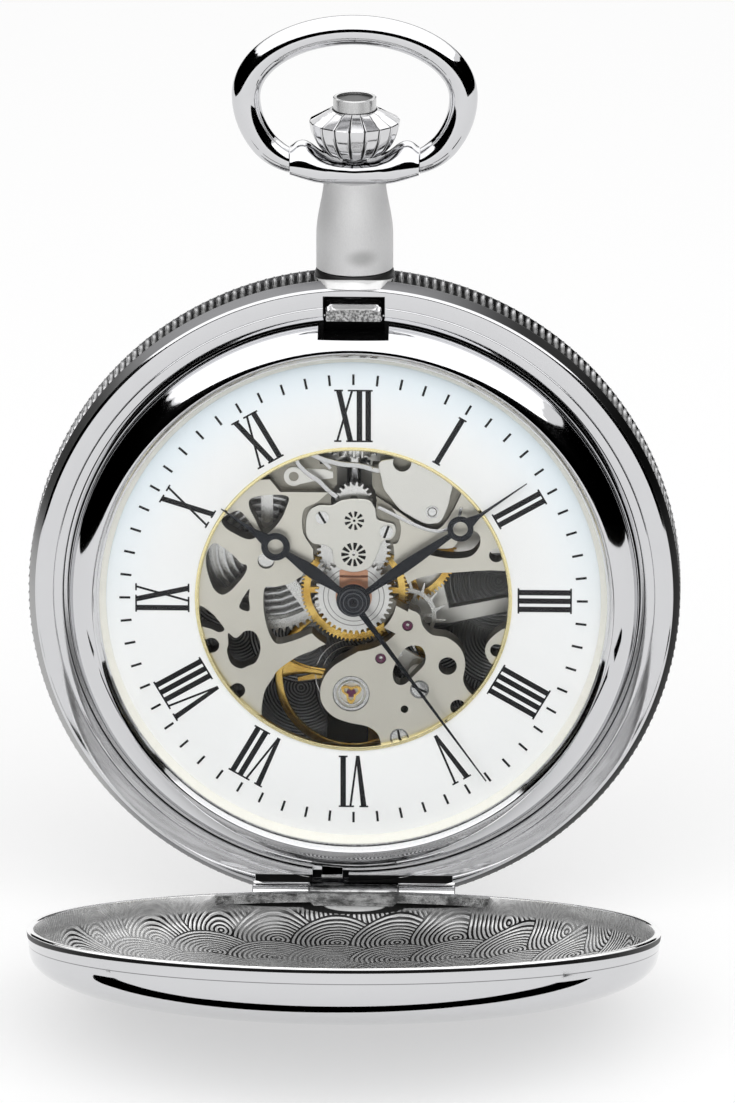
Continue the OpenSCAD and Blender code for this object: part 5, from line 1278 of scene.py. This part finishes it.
def letterStrokes(letter, at):
    # strokes of one numeral letter and its width, with serifs as thin bars at head and foot
    d = dialPrint
    low, high, thick, thin, out = d["inner"], d["outer"], d["thick"], d["thin"], d["serifOut"]
    foot, head = (low, low + d["serif"]), (high - d["serif"], high)
    end = at + d["wide"]
    if letter == "I":
        serif = (at - out, at + thick + out)
        return [upright(at, at + thick, low, high), upright(*serif, *foot), upright(*serif, *head)], thick
    if letter == "V":
        mid = at + d["wide"] * 0.5
        return [slanted(mid - 0.13, mid + 0.16, at, at + thick, low, high),
                slanted(mid - 0.02, mid + 0.13, end - thin, end, low, high),
                upright(at - out, at + thick + out, *head),
                upright(end - thin - 0.2, end + 0.16, *head)], d["wide"]
    short = thick * 0.7
    return [slanted(end - thick, end, at, at + thick, low, high),
            slanted(at, at + thin, end - thin, end, low, high),
            upright(at - out, at + short + out, *foot), upright(end - thick - out, end + out, *foot),
            upright(at - out, at + thick + out, *head),
            upright(end - short - out, end + out, *head)], d["wide"]


def turned(points, degrees):
    # clockwise from twelve
    a = math.radians(degrees)
    p = np.asarray(points, float)
    x, y = p[:, 0], p[:, 1]
    return np.stack([x * math.cos(a) + y * math.sin(a), -x * math.sin(a) + y * math.cos(a)], -1)


def makePrint():
    # letters of each hour set side by side about its line, and sixty ticks; strokes that cross differ a
    # little in height
    d = dialPrint
    parts = []
    for hour, word in enumerate(hourWords):
        at, strokes = 0.0, []
        for letter in word:
            more, width = letterStrokes(letter, at)
            strokes += more
            at += width + d["gap"]
        total = at - d["gap"]
        for number, stroke in enumerate(strokes):
            stroke = turned(stroke - np.array([total / 2, 0]), hour * 30)
            lift = d["raise"] + d["step"] * (number % 7)
            parts.append(prismPoints(stroke, d["face"] - d["sink"], d["face"] + lift))
    for k in range(60):
        w = d["tickWidth"] / 2
        tick = turned(upright(-w, w, d["tickIn"], d["tickOut"]), k * 6)
        parts.append(prismPoints(tick, d["face"] - d["sink"], d["face"] + d["raise"]))
    wear(joined("dialPrint", parts, "printBlack", 30), "frame")


# each ring of the dial: its line as radius and height, how far and in how many steps its corners soften,
# its finish, its sharp angle and the part that it replaces
dialRings = {
    "dialFace": ([(11.95, 3.0), (19.35, 3.0), (19.35, 3.4), (11.95, 3.4)],
                 0.05, 3, "enamelWhite", 40, "dial"),
    "dialRing": ([(11.8, 3.02), (11.9, 3.02), (11.95, 3.38), (12.14, 3.42), (12.12, 3.5), (11.86, 3.48)],
                 0.04, 4, "paleGold", 60, "dial_ring"),
    "flangeRing": ([(18.93, 3.4), (20.5, 3.4), (20.5, 4.12), (19.38, 4.12), (18.93, 3.56)],
                   0.04, 3, "creamRing", 40, "flange_ring")}


def makeDial():
    # each line softened and turned round
    for name, (line, reach, steps, finish, sharp, node) in dialRings.items():
        wear(meshOf(name, *turnedRing(softened(line, reach, steps), 240), finish, sharp), "frame", node)


# Hands

# ring: place along the hand, outer and inner radius; hub: outer and inner radius; line and tip: half widths
# at places along the hand
handShape = {
    "hour": {"z": 3.6, "thick": 0.12, "at": 305.5, "ring": (7.3, 1.1, 0.6), "hub": (1.3, 0.95),
             "line": [(1.0, 0.3), (1.7, 0.28), (2.6, 0.42), (3.6, 0.52), (4.6, 0.48), (5.6, 0.32),
                      (6.35, 0.24)],
             "tip": [(8.2, 0.5), (8.6, 0.42), (9.2, 0.24), (10.2, 0.14), (12.4, 0.04)]},
    "minute": {"z": 3.9, "thick": 0.12, "at": 54.3, "ring": (10.07, 1.0, 0.57), "hub": (1.2, 0.65),
               "line": [(0.9, 0.26), (1.8, 0.25), (3.0, 0.36), (4.6, 0.46), (6.2, 0.42), (7.8, 0.3),
                        (9.2, 0.22)],
               "tip": [(10.9, 0.46), (11.2, 0.36), (11.7, 0.18), (12.6, 0.11), (16.3, 0.04)]},
}
needle = {"z": 4.2, "thick": 0.1, "ridge": 0.03, "at": 144.4,
          "line": [(0.3, 0.3), (1.2, 0.27), (3, 0.2), (8, 0.13), (17.5, 0.05)],
          "washers": [(1.05, 0.2, 4.2, 4.3), (0.72, 0.6, 4.28, 4.33), (0.36, 0.2, 4.28, 4.37)],
          "pin": (0.23, 4.22, 4.4)}


def blade(line, z, thick, degrees, ridge=0.05):
    # half widths along the hand, evened over five steps, with a low ridge down its middle
    line = np.asarray(line, float)
    steps = 40
    r = np.linspace(line[0, 0], line[-1, 0], steps)
    w = np.interp(r, line[:, 0], line[:, 1])
    w = np.convolve(np.pad(w, 2, "edge"), np.ones(5) / 5, "valid")
    section = [(-1, 0.0), (-0.92, thick * 0.6), (0, thick + ridge * 0.6), (0.92, thick * 0.6), (1, 0.0)]
    across = len(section)
    p = np.stack([np.stack([side * w, r, np.full(steps, z + height)], -1) for side, height in section], 1)
    flat = turned(p[..., :2].reshape(-1, 2), degrees).reshape(steps, across, 2)
    ends = [list(range(across))[::-1], list(range((steps - 1) * across, steps * across))]
    return toFrame(np.concatenate([flat, p[..., 2:]], -1)), gridFaces(steps, across, False, True) + ends


def makeHands():
    # hour and minute: two blades with a ring between them and a hub; the seconds hand is one thin blade
    for name, h in handShape.items():
        a = math.radians(h["at"])
        at, outer, inner = h["ring"]
        top = h["z"] + h["thick"]
        parts = [blade(h["line"], h["z"], h["thick"], h["at"]),
                 blade(h["tip"], h["z"], h["thick"], h["at"]),
                 washer(at * math.sin(a), at * math.cos(a), outer, inner, h["z"], top + 0.01),
                 washer(0, 0, *h["hub"], h["z"], top + 0.02)]
        wear(joined(name + "Hand", parts, "handBlack"), name, name + "_hand")
    n = needle
    parts = [blade(n["line"], n["z"], n["thick"], n["at"], n["ridge"])]
    parts += [washer(0, 0, *w) for w in n["washers"]] + [discPoints(0, 0, *n["pin"], 24)]
    wear(joined("secondHand", parts, "handBlack"), "seconds", "second_hand")


# Movement

# where the arbors stand behind the dial
train = {"centre": (0, 0), "third": (3.7, 2.6), "escape": (4.13, -2.2), "pallet": (2.07, -4.85),
         "balance": (-0.2, -7.7), "barrel": (-6.7, 2.9)}
# windows, sectors, holes and slot go through; bays and sinks start at a floor of their own
plate = {
    "r": 18.47, "back": 1.2, "face": 3.0, "bevel": 0.04, "past": 1, "open": 5,
    "windows": [
        [(-7.8, 7.88), (-6.4, 8.17), (-5.0, 8.03), (-5.2, 7.0), (-5.6, 6.15), (-6.2, 5.4), (-6.8, 5.0),
         (-7.2, 5.5), (-7.5, 6.15), (-7.97, 7.2)],
        [(-10.1, 6.15), (-9.6, 6.57), (-8.8, 6.88), (-8.2, 6.36), (-7.6, 5.52), (-7.2, 5.1), (-7.6, 4.69),
         (-8.2, 4.63), (-9.0, 5.0), (-9.8, 5.52)],
        [(-10.7, 4.27), (-10.0, 3.96), (-9.2, 3.33), (-8.6, 2.7), (-8.17, 2.5), (-8.3, 1.87), (-8.9, 1.04),
         (-9.5, 0.41), (-10.1, 0.16), (-10.7, 0.62), (-11.1, 1.66), (-11.3, 2.7), (-11.2, 3.6)],
        [(-7.97, 0.66), (-8.02, 0.0), (-7.97, -1.05), (-8.4, -1.09), (-8.75, -0.84), (-8.6, -0.32),
         (-8.3, 0.2)],
        [(-6.8, 0.72), (-6.0, 0.83), (-4.8, 1.14), (-3.8, 1.66), (-2.8, 0.5), (-2.6, -2.3), (-3.6, -3.03),
         (-5.0, -3.6), (-5.9, -3.72), (-6.37, -3.14), (-6.7, -2.1), (-6.9, -0.84)],
        [(-9.6, -2.93), (-9.0, -3.3), (-8.3, -2.72), (-7.6, -2.82), (-7.2, -3.55), (-7.17, -4.39),
         (-7.5, -5.22), (-8.1, -5.54), (-8.7, -5.75), (-9.4, -5.33), (-9.7, -4.39), (-9.6, -3.76)],
        [(-11.8, -0.8), (-11.0, -1.2), (-10.4, -1.85), (-9.9, -2.6), (-10.3, -2.85), (-10.9, -2.6),
         (-11.8, -2.2)],
        [(-5.75, -5.8), (-4.4, -4.8), (-3.2, -4.28), (-2.0, -3.7), (-1.0, -3.9), (0.5, -4.1), (-0.5, -4.8),
         (-1.6, -5.54), (-2.3, -6.48), (-2.57, -7.52), (-2.4, -8.56), (-1.6, -9.5), (-0.4, -10.0),
         (1.0, -10.3), (1.8, -10.86), (2.1, -11.7), (2.2, -12.6), (-3.0, -12.7), (-6.9, -10.9),
         (-7.05, -9.6), (-7.05, -8.77), (-6.8, -7.5), (-6.2, -6.5)],
        [(3.0, -5.9), (3.5, -4.6), (4.2, -3.85), (5.1, -3.85), (5.5, -4.5), (5.4, -5.3), (4.7, -6.1),
         (3.9, -6.9), (3.2, -6.8)],
        [(4.4, 1.35), (6.2, 1.95), (7.4, 2.08), (12.4, 2.0), (12.7, -1.8), (11.4, -2.4), (10.3, -3.4),
         (10.1, -4.4), (10.8, -5.4), (12.2, -5.6), (11.4, -7.0), (9.8, -7.9), (9.0, -7.6), (8.4, -6.6),
         (8.55, -5.2), (8.2, -4.0), (7.2, -3.14), (6.0, -2.9), (5.3, -2.2), (5.0, -1.26), (4.2, -0.8),
         (3.7, 0.1)],
        [(5.6, 3.6), (6.4, 4.0), (7.6, 4.1), (8.2, 5.0), (9.1, 5.45), (9.65, 5.0), (9.6, 4.17),
         (9.0, 3.44), (8.0, 3.23), (6.8, 3.28)],
        [(-2.6, 12.2), (2.0, 12.2), (2.0, 10.4), (-2.6, 10.4)],
        [(-1.3, 10.2), (1.4, 10.2), (1.4, 8.3), (-1.3, 8.3)]],
    "straight": (11, 12),
    "spokes": (1.8, 4.3), "sectors": [(106.2, 318.6, 131.8, 298.3), (-14.6, 73.8, 5.7, 48.2)],
    "holes": [(-10.9, -3.9, 0.6), (-8.9, -7.5, 0.58), (7.2, -5.4, 0.7), (3.9, -8.9, 0.3), (8, -8.7, 0.6),
              (10.9, 3.5, 0.55), (10.95, -4.1, 0.5)],
    "sinks": [(0, 0, 3.3, 1.8, 5, 96), (0, 3.6, 3.1, 1.8, 5, 96), (0, 7.6, 1.75, 0.2, 5, 64)],
    # each bay: its knots, steps from knot to knot or none where it is straight, and its floor
    "bays": [
        ([(-3.8, 7.0), (-3.9, 5.4), (-3.3, 4.2), (-2, 2.8), (2, 2.8), (2.6, 4.2), (3.4, 4.5), (3.5, 6.2),
          (1.8, 8.6), (0, 9), (-1.6, 8.6), (-2.8, 7.6)], 5, 2.6),
        ([(1.2, 8.5), (3.3, 7), (5.3, 5.7), (6.8, 5.8), (8.4, 8.9), (8.2, 11), (6.8, 13.4), (0.9, 13.6),
          (0.9, 11.6), (1.7, 10.6), (1.2, 10.0)], 4, 2.1),
        ([(-1, 11.9), (-1, 8.4), (-5.6, 8.4), (-6.4, 9.4), (-9.4, 9.2), (-9.4, 11.2), (-7, 12.3),
          (-2, 12.3)], 0, 2.1)],
    "stemHole": (0.64, 8, 19.5, 32), "pinionSlot": ((-1.3, 10.1), (1.4, 10.5)),
    "bores": [(*train["centre"], 0.8, 0, 5), (*train["third"], 0.42, 0, 1.8),
              (*train["escape"], 0.42, 0, 5), (*train["pallet"], 0.42, 0, 5),
              (*train["balance"], 1.42, 2.5, 5, 72), (*train["balance"], 0.6, 0, 5),
              (*train["barrel"], 0.64, 0, 5)] + [(x, y, 0.73, 2.65, 5) for x, y, _ in screwSlots[2:]],
    "foot": (1.18, -1.35, 1.25), "feetR": 16.7, "feet": [168, 109, 182, 61, 12, -11.5],
    "cockFoot": (-0.2, -15.9), "palletFoot": (4.9, -6.6, 0.78, -0.2, 1.25)}


def curved(knots, steps=5):
    # a closed curve through the knots: each span blends its two ends and their neighbours' slopes
    p = np.asarray(knots, float)
    before, after, beyond = np.roll(p, 1, 0), np.roll(p, -1, 0), np.roll(p, -2, 0)
    t = (np.arange(steps) / steps)[None, :, None]
    a, b, c, d = before[:, None], p[:, None], after[:, None], beyond[:, None]
    second, third = 2 * a - 5 * b + 4 * c - d, 3 * b - a - 3 * c + d
    line = 0.5 * (2 * b + (c - a) * t + second * t ** 2 + third * t ** 3)
    return line.reshape(-1, 2)


def sector(inner, outer, a0, a1, b0, b1):
    # between two arcs, the outer from a0 to a1 and the inner from b1 back to b0
    a, b = np.radians(np.linspace(a0, a1, 40)), np.radians(np.linspace(b1, b0, 24))
    return np.concatenate([outer * np.stack([np.cos(a), np.sin(a)], -1),
                           inner * np.stack([np.cos(b), np.sin(b)], -1)])


def slabPoints(outline, z0, z1, bevel):
    # an outline carried upward, its edges drawn in by the bevel along each corner's own inward direction
    p = np.asarray(outline, float)
    area = 0.5 * np.sum(p[:, 0] * np.roll(p[:, 1], -1) - np.roll(p[:, 0], -1) * p[:, 1])
    if area < 0:
        p = p[::-1]
    along = np.roll(p, -1, 0) - np.roll(p, 1, 0)
    inward = np.stack([-along[:, 1], along[:, 0]], -1)
    inward /= np.linalg.norm(inward, axis=1)[:, None]
    n = len(p)
    drawn = p + inward * bevel
    points, sides = layered([(drawn, z0), (p, z0 + bevel), (p, z1 - bevel), (drawn, z1)])
    return toFrame(points), sides + [list(range(n))[::-1], list(range(3 * n, 4 * n))]


def stripPoints(path, half, z0, z1):
    # a flat spring: the path smoothed, then set off to both sides by half the width
    p = np.asarray(path, float)
    t = np.linspace(0, len(p) - 1, 10 * len(p))
    line = np.stack([evened(np.interp(t, np.arange(len(p)), p[:, k]), 13) for k in (0, 1)], -1)
    along = np.gradient(line, axis=0)
    side = np.stack([-along[:, 1], along[:, 0]], -1)
    side /= np.linalg.norm(side, axis=1)[:, None] + 1e-9
    return slabPoints(np.concatenate([line + side * half, (line - side * half)[::-1]]), z0, z1, 0.03)


def paintWalls(made):
    # faces that stand square to the dial take the painted shade of the cut walls,
    # and those sunk between the main plate's two faces the darker painted shade of the recesses
    mesh = made.data
    for name in ("plateWallShade", "plateFloorShade"):
        mesh.materials.append(materials[name])
    facing, depth = faceRows(mesh, "normal")[:, 1], -faceRows(mesh, "center")[:, 1] * 1000
    wall = np.abs(facing) < 0.4
    between = (depth > plate["back"] + 0.05) & (depth < plate["face"] - 0.1)
    sunk = (facing < -0.9) & between & (made.name == "mainPlate")
    mesh.polygons.foreach_set("material_index", np.where(sunk, 2, wall.astype(int)).astype(np.int32))


def makePlate():
    # a disc less its windows, holes and recesses, on the feet of the bridges
    p = plate
    slab = slabPoints(roundOutline(p["r"], steps=180), p["back"], p["face"], p["bevel"])
    made = meshOf("mainPlate", *slab, "plateNickel", 30)
    low, high = p["back"] - p["past"], p["face"] + p["past"]
    (x0, y0), (x1, y1) = p["pinionSlot"]
    cutters = [prismPoints(knots if number in p["straight"] else curved(knots), low, high)
               for number, knots in enumerate(p["windows"])]
    cutters += [prismPoints(sector(*p["spokes"], *angles), low, high) for angles in p["sectors"]]
    cutters += [discPoints(*hole, low, high, 40) for hole in p["holes"]]
    cutters += [discPoints(*sink) for sink in p["sinks"]]
    cutters += [prismPoints(curved(knots, steps) if steps else knots, floor, p["open"])
                for knots, steps, floor in p["bays"]]
    cutters += [postPoints(*p["stemHole"]), boxPoints((x0, y0, low), (x1, y1, high))]
    cutters += [discPoints(*bore) for bore in p["bores"]]
    hollow(made, cutters)
    paintWalls(made)
    turns = np.radians(p["feet"])
    places = [(p["feetR"] * math.cos(a), p["feetR"] * math.sin(a)) for a in turns] + [p["cockFoot"]]
    feet = [discPoints(x, y, *p["foot"]) for x, y in places] + [discPoints(*p["palletFoot"])]
    wear(joined("plateFeet", feet, "plateNickel"), "frame")
    wear(made, "frame", "main_plate")


# rings as outer and inner radius, foot, top and steps; the lyre as middle radius, swing of its lobes and
# half width
shock = {"rings": [(1.38, 1.14, 2.52, 2.93, 72), (0.98, 0.86, 2.52, 2.8, 72)], "seat": (1.15, 2.5, 2.62),
         "lyre": (0.52, 0.19, 0.105), "lyreZ": (2.7, 2.8), "lobes": 3, "turn": 0.5, "lugR": 0.78,
         "lugs": (0.5, 2.6, 4.7), "lug": (0.13, 0.05, 2.7, 2.79, 20), "stone": (0.36, 2.6, 2.74)}
# each jewel: its arbor, outer and inner radius, foot and top
jewels = [("escape", 0.4, 0.13, 2.55, 2.86), ("pallet", 0.4, 0.13, 2.55, 2.86),
          ("third", 0.4, 0.14, 1.3, 1.65), ("centre", 0.4, 0.14, -2.95, -2.6),
          ("third", 0.4, 0.14, -2.95, -2.6), ("escape", 0.4, 0.14, -2.95, -2.6),
          ("balance", 0.66, 0.14, -4.4, -4.15)]


def makeShock():
    # the balance's shock setting: a steel ring, a dark seat, a gold lyre of three lobes and the stone
    s = shock
    x, y = train["balance"]
    wear(joined("shockRing", [washer(x, y, *ring) for ring in s["rings"]], "slottedSteel", 40), "frame")
    wear(joined("shockSeat", [discPoints(x, y, *s["seat"])], "plateNickel"), "frame")
    a = np.linspace(0, 2 * np.pi, 96, endpoint=False)
    middle, swing, half = s["lyre"]
    low, high = s["lyreZ"]
    r = middle + swing * np.cos(s["lobes"] * (a - s["turn"]))
    rows = [(r - half, low), (r + half, low), (r + half, high), (r - half, high)]
    rings = [np.stack([x + q * np.cos(a), y + q * np.sin(a), np.full(96, z)], -1) for q, z in rows]
    lugs = [washer(x + s["lugR"] * math.cos(t), y + s["lugR"] * math.sin(t), *s["lug"]) for t in s["lugs"]]
    wear(joined("shockLyre", [(toFrame(np.stack(rings, 1)), gridFaces(96, 4))] + lugs, "gold", 40), "frame")
    stones = [discPoints(x, y, *s["stone"])]
    stones += [washer(*train[arbor], *stone, 40) for arbor, *stone in jewels]
    wear(joined("jewelStones", stones, "rubyRed", 40), "frame", "jewels")


# the bridge and the cover as knots, then foot, top and bevel; each spring's path, half width, foot and top
dress = {
    "bridge": [
        (-3.3, 7.0), (-2.6, 7.35), (-1.7, 7.35), (-0.9, 7.75), (0.2, 7.88), (1.2, 7.76), (1.65, 7.1),
        (1.8, 6.3), (2.4, 6.05), (3.1, 5.85), (3.22, 5.25), (2.9, 4.7), (2.2, 4.5), (1.95, 3.85),
        (1.55, 2.9), (1.1, 2.33), (0, 2.03), (-1.1, 2.33), (-1.55, 2.9), (-1.65, 3.8), (-2.3, 4.2),
        (-3.1, 4.3), (-3.6, 4.9), (-3.66, 5.7), (-3.6, 6.4)],
    "bridgeZ": (2.75, 2.95, 0.035),
    "cover": [
        (1.9, 10.7), (2.6, 11.05), (4.4, 11.1), (6.2, 10.3), (7.5, 9.3), (7.4, 8.2), (7.2, 7.3), (6.7, 6.2),
        (6.1, 5.95), (5.4, 5.98), (4.4, 6.5), (3.5, 7.1), (2.8, 8.0), (2.3, 8.7), (2.1, 9.6)],
    "coverZ": (2.65, 2.95, 0.04), "coverHoles": [(3.7, 10.8, 0.7, 2, 4, 40), (6, 6.9, 0.36, 2, 4, 32)],
    "springs": [
        ([(1.75, 7.35), (3.0, 6.72), (4.4, 6.0), (5.6, 5.5), (6.6, 5.36), (7.4, 5.66), (8.05, 6.4),
          (8.25, 7.4)],
         0.13, 2.9, 3.1),
        ([(-4.5, 11.5), (-4.25, 10.6), (-3.6, 9.9), (-2.6, 9.2), (-1.85, 8.4), (-1.2, 7.95)],
         0.17, 2.66, 2.9),
        ([(-3.6, 11.6), (-2.4, 11.0), (-1.0, 10.62), (0.6, 10.5), (1.9, 10.1), (2.4, 10.35)],
         0.2, 2.66, 2.9)],
    "pivotRing": (6, 6.9, 0.5, 0.38, 2.93, 2.98, 40), "pivot": (6, 6.9, 0.3, 2.7, 2.97, 32)}


def makeBridgeDress():
    # two curved slabs with painted walls, the springs beside them and the cover's pivot
    d = dress
    for name, line, finish, node in (("minuteBridge", "bridge", "bridgePierced", "minute_bridge"),
                                     ("settingCover", "cover", "bridgeNickel", "setting_cover")):
        made = meshOf(name, *slabPoints(curved(d[line], 4), *d[line + "Z"]), finish, 25)
        if line == "cover":
            hollow(made, [discPoints(*hole) for hole in d["coverHoles"]])
        paintWalls(made)
        wear(made, "frame", node)
    wear(joined("coverSpring", [stripPoints(*spring) for spring in d["springs"]], "springSteel", 30),
         "frame")
    wear(joined("coverPivot", [washer(*d["pivotRing"]), discPoints(*d["pivot"])], "slottedSteel"), "frame")


# discs of the hub, roller, staff and collet: radius, foot and top
balance = {"r": 6.0, "rim": 0.62, "low": -1.75, "high": -1.35, "ease": 0.1, "arms": (52, 172, 292),
           "armFrom": 0.6, "armShort": 0.35, "armHalf": 0.3, "flare": 0.85, "flareFrom": 2.4, "armZ": 0.2,
           "armRise": 0.12,
           "discs": [(1.0, -1.65, -1.45), (0.5, -2.1, -1.63, 32), (0.2, -3.1, 2.35, 24),
                     (0.75, 0.35, 0.6, 32)]}


def makeBalance():
    # a bright rim and three arms that flare like trumpets toward it
    b = balance
    x0, y0 = train["balance"]
    inside = b["r"] - b["rim"]
    rim = [(inside, b["low"]), (b["r"], b["low"]), (b["r"], b["high"]), (inside, b["high"])]
    parts = [turnedRing(softened(rim, b["ease"], 5), 200, centre=(x0, y0))]
    s = np.linspace(b["armFrom"], b["r"] - b["armShort"], 26)
    grow = np.clip((s - b["flareFrom"]) / (b["r"] - b["flareFrom"] - b["armHalf"]), 0, 1)
    half = b["armHalf"] + b["flare"] * grow ** 2.6
    turn = np.linspace(0, 2 * np.pi, 20, endpoint=False)
    across = half[:, None] * np.cos(turn)
    high = b["low"] + b["armZ"] + b["armRise"] * np.sin(turn)[None, :] * np.ones((26, 1))
    for degrees in b["arms"]:
        t = math.radians(degrees)
        px = x0 + s[:, None] * math.cos(t) - across * math.sin(t)
        py = y0 + s[:, None] * math.sin(t) + across * math.cos(t)
        parts.append(tubePoints(np.stack([px, py, high], -1)))
    parts += [discPoints(x0, y0, *disc) for disc in b["discs"]]
    wear(joined("balanceWheel", parts, "gold", 45), "balance", "balance_wheel")
makeDial()
makePrint()
makeHands()
makePlate()
makeShock()
makeBridgeDress()
makeBalance()
print("dial, hands and movement made")


# Floor, lamps and surroundings

stage = {"floorDrop": 0.0002, "floorSize": 3.0, "floorGrey": 0.55, "floorGlow": 0.46, "skyForDiffuse": 0.6,
         "skyForGloss": 1.0, "lampWatts": 26.0, "lampSize": (3.0, 1.3), "lampAt": (0.1, -1.15, 1.05),
         "middle": (0, 0, -0.043)}


def makeFloor():
    # white paper a hair below the watch: it glows for whoever looks and still takes the shadow
    low = cadBox[0][2] - stage["floorDrop"]
    s = stage["floorSize"]
    mesh = bpy.data.meshes.new("floor")
    mesh.from_pydata([(-s, -s, low), (s, -s, low), (s, s, low), (-s, s, low)], [], [(0, 1, 2, 3)])
    f = Finish("floorPaper", Base_Color=grey(stage["floorGrey"]), Roughness=0.9, Specular_IOR_Level=0.0)
    f.feed(Emission_Color=grey(1), Emission_Strength=f.lookedAt() * stage["floorGlow"])
    mesh.materials.append(f.material)
    floor = placed("floor", mesh)


def makeSky():
    # a white world, dimmer for the light that it sheds than for whoever looks
    world = bpy.data.worlds.new("studio")
    bpy.context.scene.world = world
    world.use_nodes = True
    graph = Graph(world.node_tree)
    inputs = graph.tree.nodes["Background"].inputs
    graph.put(inputs["Color"], grey(1))
    graph.put(inputs["Strength"], graph.node("ShaderNodeMapRange", None, {
        "Value": graph.lookedAt(), "To Min": stage["skyForDiffuse"], "To Max": stage["skyForGloss"]}))


# the belt's two edges and the canopy's as direction and elevation in degrees
flags = {
    "radius": 1.3, "centre": -0.043, "steps": 720, "window": 11,
    "high": [(-180, 9), (-160, 12), (-141, 22), (-125, 30), (-110, 35), (-75, 36), (-60, 31), (-43, 25),
             (0, 22), (43, 25), (60, 28), (75, 30), (95, 30), (110, 29), (125, 26), (141, 18), (160, 12),
             (180, 9)],
    "low": [(-180, 0), (-125, -4), (-90, -9), (-50, -6), (0, -1), (22, -5), (38, -8.5), (60, -6),
            (90, -3.5), (180, 0)],
    "canopy": [(-180, 23), (-160, 24), (-141, 26), (-125, 31), (-110, 36), (-75, 37), (-60, 32), (-43, 26),
               (0, 22.5), (43, 26), (60, 31), (75, 36), (95, 37), (110, 36), (125, 31), (141, 26),
               (160, 24), (180, 23)],
    "canopyGap": 0.05, "canopyRows": 10, "canopyLevel": 1.7, "floorDepth": 0.038, "floorGap": 0.02,
    "floorRise": 0.0001}


def directions():
    # steps all round, nought toward the front
    return np.linspace(-180, 180, flags["steps"], endpoint=False)


def edgeLine(side):
    # elevations between the knots, then the mean over a window of steps
    knots, window = np.array(flags[side], float), flags["window"]
    line = np.interp(directions(), knots[:, 0], knots[:, 1])
    return np.convolve(np.pad(line, window // 2, "wrap"), np.ones(window) / window, "valid")


def unseen(name, points, faces, material):
    # a stage piece that polished metal reflects and nothing else meets
    mesh = bpy.data.meshes.new(name)
    mesh.from_pydata(points.reshape(-1, 3).tolist(), [], faces)
    mesh.materials.append(material)
    made = placed(name, mesh)
    made.visible_camera = made.visible_diffuse = made.visible_shadow = made.visible_transmission = False


def makeFlags(cloth):
    # a dark belt whose edges rise and fall with the direction: each height is the radius times the
    # tangent of the elevation; where the belt sinks below the horizon it goes on over the floor,
    # from the floor's depth over the tangent of the elevation out to the belt
    f = flags
    steps, a = f["steps"], np.radians(directions())
    way = np.stack([np.sin(a), -np.cos(a)], -1)
    low, high = [np.c_[f["radius"] * way, f["centre"] + f["radius"] * np.tan(np.radians(edgeLine(side)))]
                 for side in ("low", "high")]
    faces = gridFaces(2, steps, False, True)
    unseen("studioFlags", np.concatenate([low, high]), faces, cloth)
    sink = np.clip(-edgeLine("low"), 1.5, 60)
    near = np.minimum(f["floorDepth"] / np.tan(np.radians(sink)) + f["floorGap"], f["radius"])[:, None]
    level = np.full(steps, cadBox[0][2] - f["floorRise"])
    points = np.concatenate([np.c_[way * near, level], np.c_[way * (f["radius"] + 0.001), level]])
    unseen("floorFlag", points, faces, cloth)


def makeCanopy():
    # the white ceiling of the light tent, seen by polished metal alone: part of a ball, in rows from its
    # lower edge to the zenith
    f = flags
    share = np.linspace(0, 1, f["canopyRows"])[:, None]
    lift = np.radians(edgeLine("canopy")[None, :] * (1 - share) + 90 * share)
    a, far = np.radians(directions())[None, :], f["radius"] + f["canopyGap"]
    points = np.stack([far * np.sin(a) * np.cos(lift), -far * np.cos(a) * np.cos(lift),
                       f["centre"] + far * np.sin(lift)], -1)
    cloth = Finish("tentCloth", Base_Color=grey(0), Roughness=1.0, Emission_Color=grey(1),
                   Emission_Strength=f["canopyLevel"]).material
    unseen("tentCeiling", points, gridFaces(f["canopyRows"], f["steps"], False, True), cloth)


# a black sheet seen only by polished metal, a painted shadow standing for the floor's shade under the open
# cover: rows of x, near edge and far edge, in three lengths
floorShadowStrips = [
    [(-72, -37.4, -36.6), (-68, -39.2, -35.4), (-62, -40.8, -34.6), (-55.5, -42.0, -34.6)],
    [(-46.5, -43.4, -36.0), (-40, -44.2, -36.4), (-32.5, -45.4, -37.2), (-28, -46.0, -38.2),
     (-24, -46.4, -39.6), (-20, -46.9, -40.6), (-16, -47.4, -41.6), (-12, -48.4, -42.3),
     (-6, -49.2, -43.4), (0, -49.6, -44.2), (6, -49.7, -44.4), (12, -49.6, -44.3), (16, -49.5, -43.7),
     (20, -49.4, -43.0), (26, -49.2, -41.4), (31, -48.4, -39.6), (37, -47.5, -37.5), (42, -46.8, -35.7),
     (46.5, -46.1, -33.8)],
    [(55.5, -44.8, -31.0), (60, -43.5, -29.8), (70, -41.0, -28.0), (76, -38.6, -32.0)]]


def makeShadowStrips(cloth):
    # each length is a ribbon between its two edges, both drawn through the rows
    # painted shadow: each ribbon is black and only reflections see it
    steps = 80
    for number, rows in enumerate(floorShadowStrips):
        rows = np.array(rows, float)
        x = np.linspace(rows[0, 0], rows[-1, 0], steps)
        low = np.full(steps, (cadBox[0][2] - flags["floorRise"]) * 1000)
        edges = [np.stack([x, np.interp(x, rows[:, 0], rows[:, k]), low], -1) for k in (1, 2)]
        unseen("floorShadowStrip%d" % number, np.array(edges) / 1000, gridFaces(2, steps, False, False), cloth)


def makeLamp():
    # a broad soft box above and in front, aimed at the dial
    data = bpy.data.lights.new("softBox", "AREA")
    data.shape, data.energy = "RECTANGLE", stage["lampWatts"]
    data.size, data.size_y = stage["lampSize"]
    lamp = placed("softBox", data)
    lamp.location = stage["lampAt"]
    aim(lamp, Vector(stage["middle"]) - lamp.location)


makeFloor()
makeSky()
blackCloth = Finish("flagCloth", Base_Color=grey(0), Roughness=1.0, Specular_IOR_Level=0.0).material
makeFlags(blackCloth)
makeCanopy()
makeShadowStrips(blackCloth)
makeLamp()
bpy.context.scene.view_settings.view_transform = "Standard"
print("stage set")
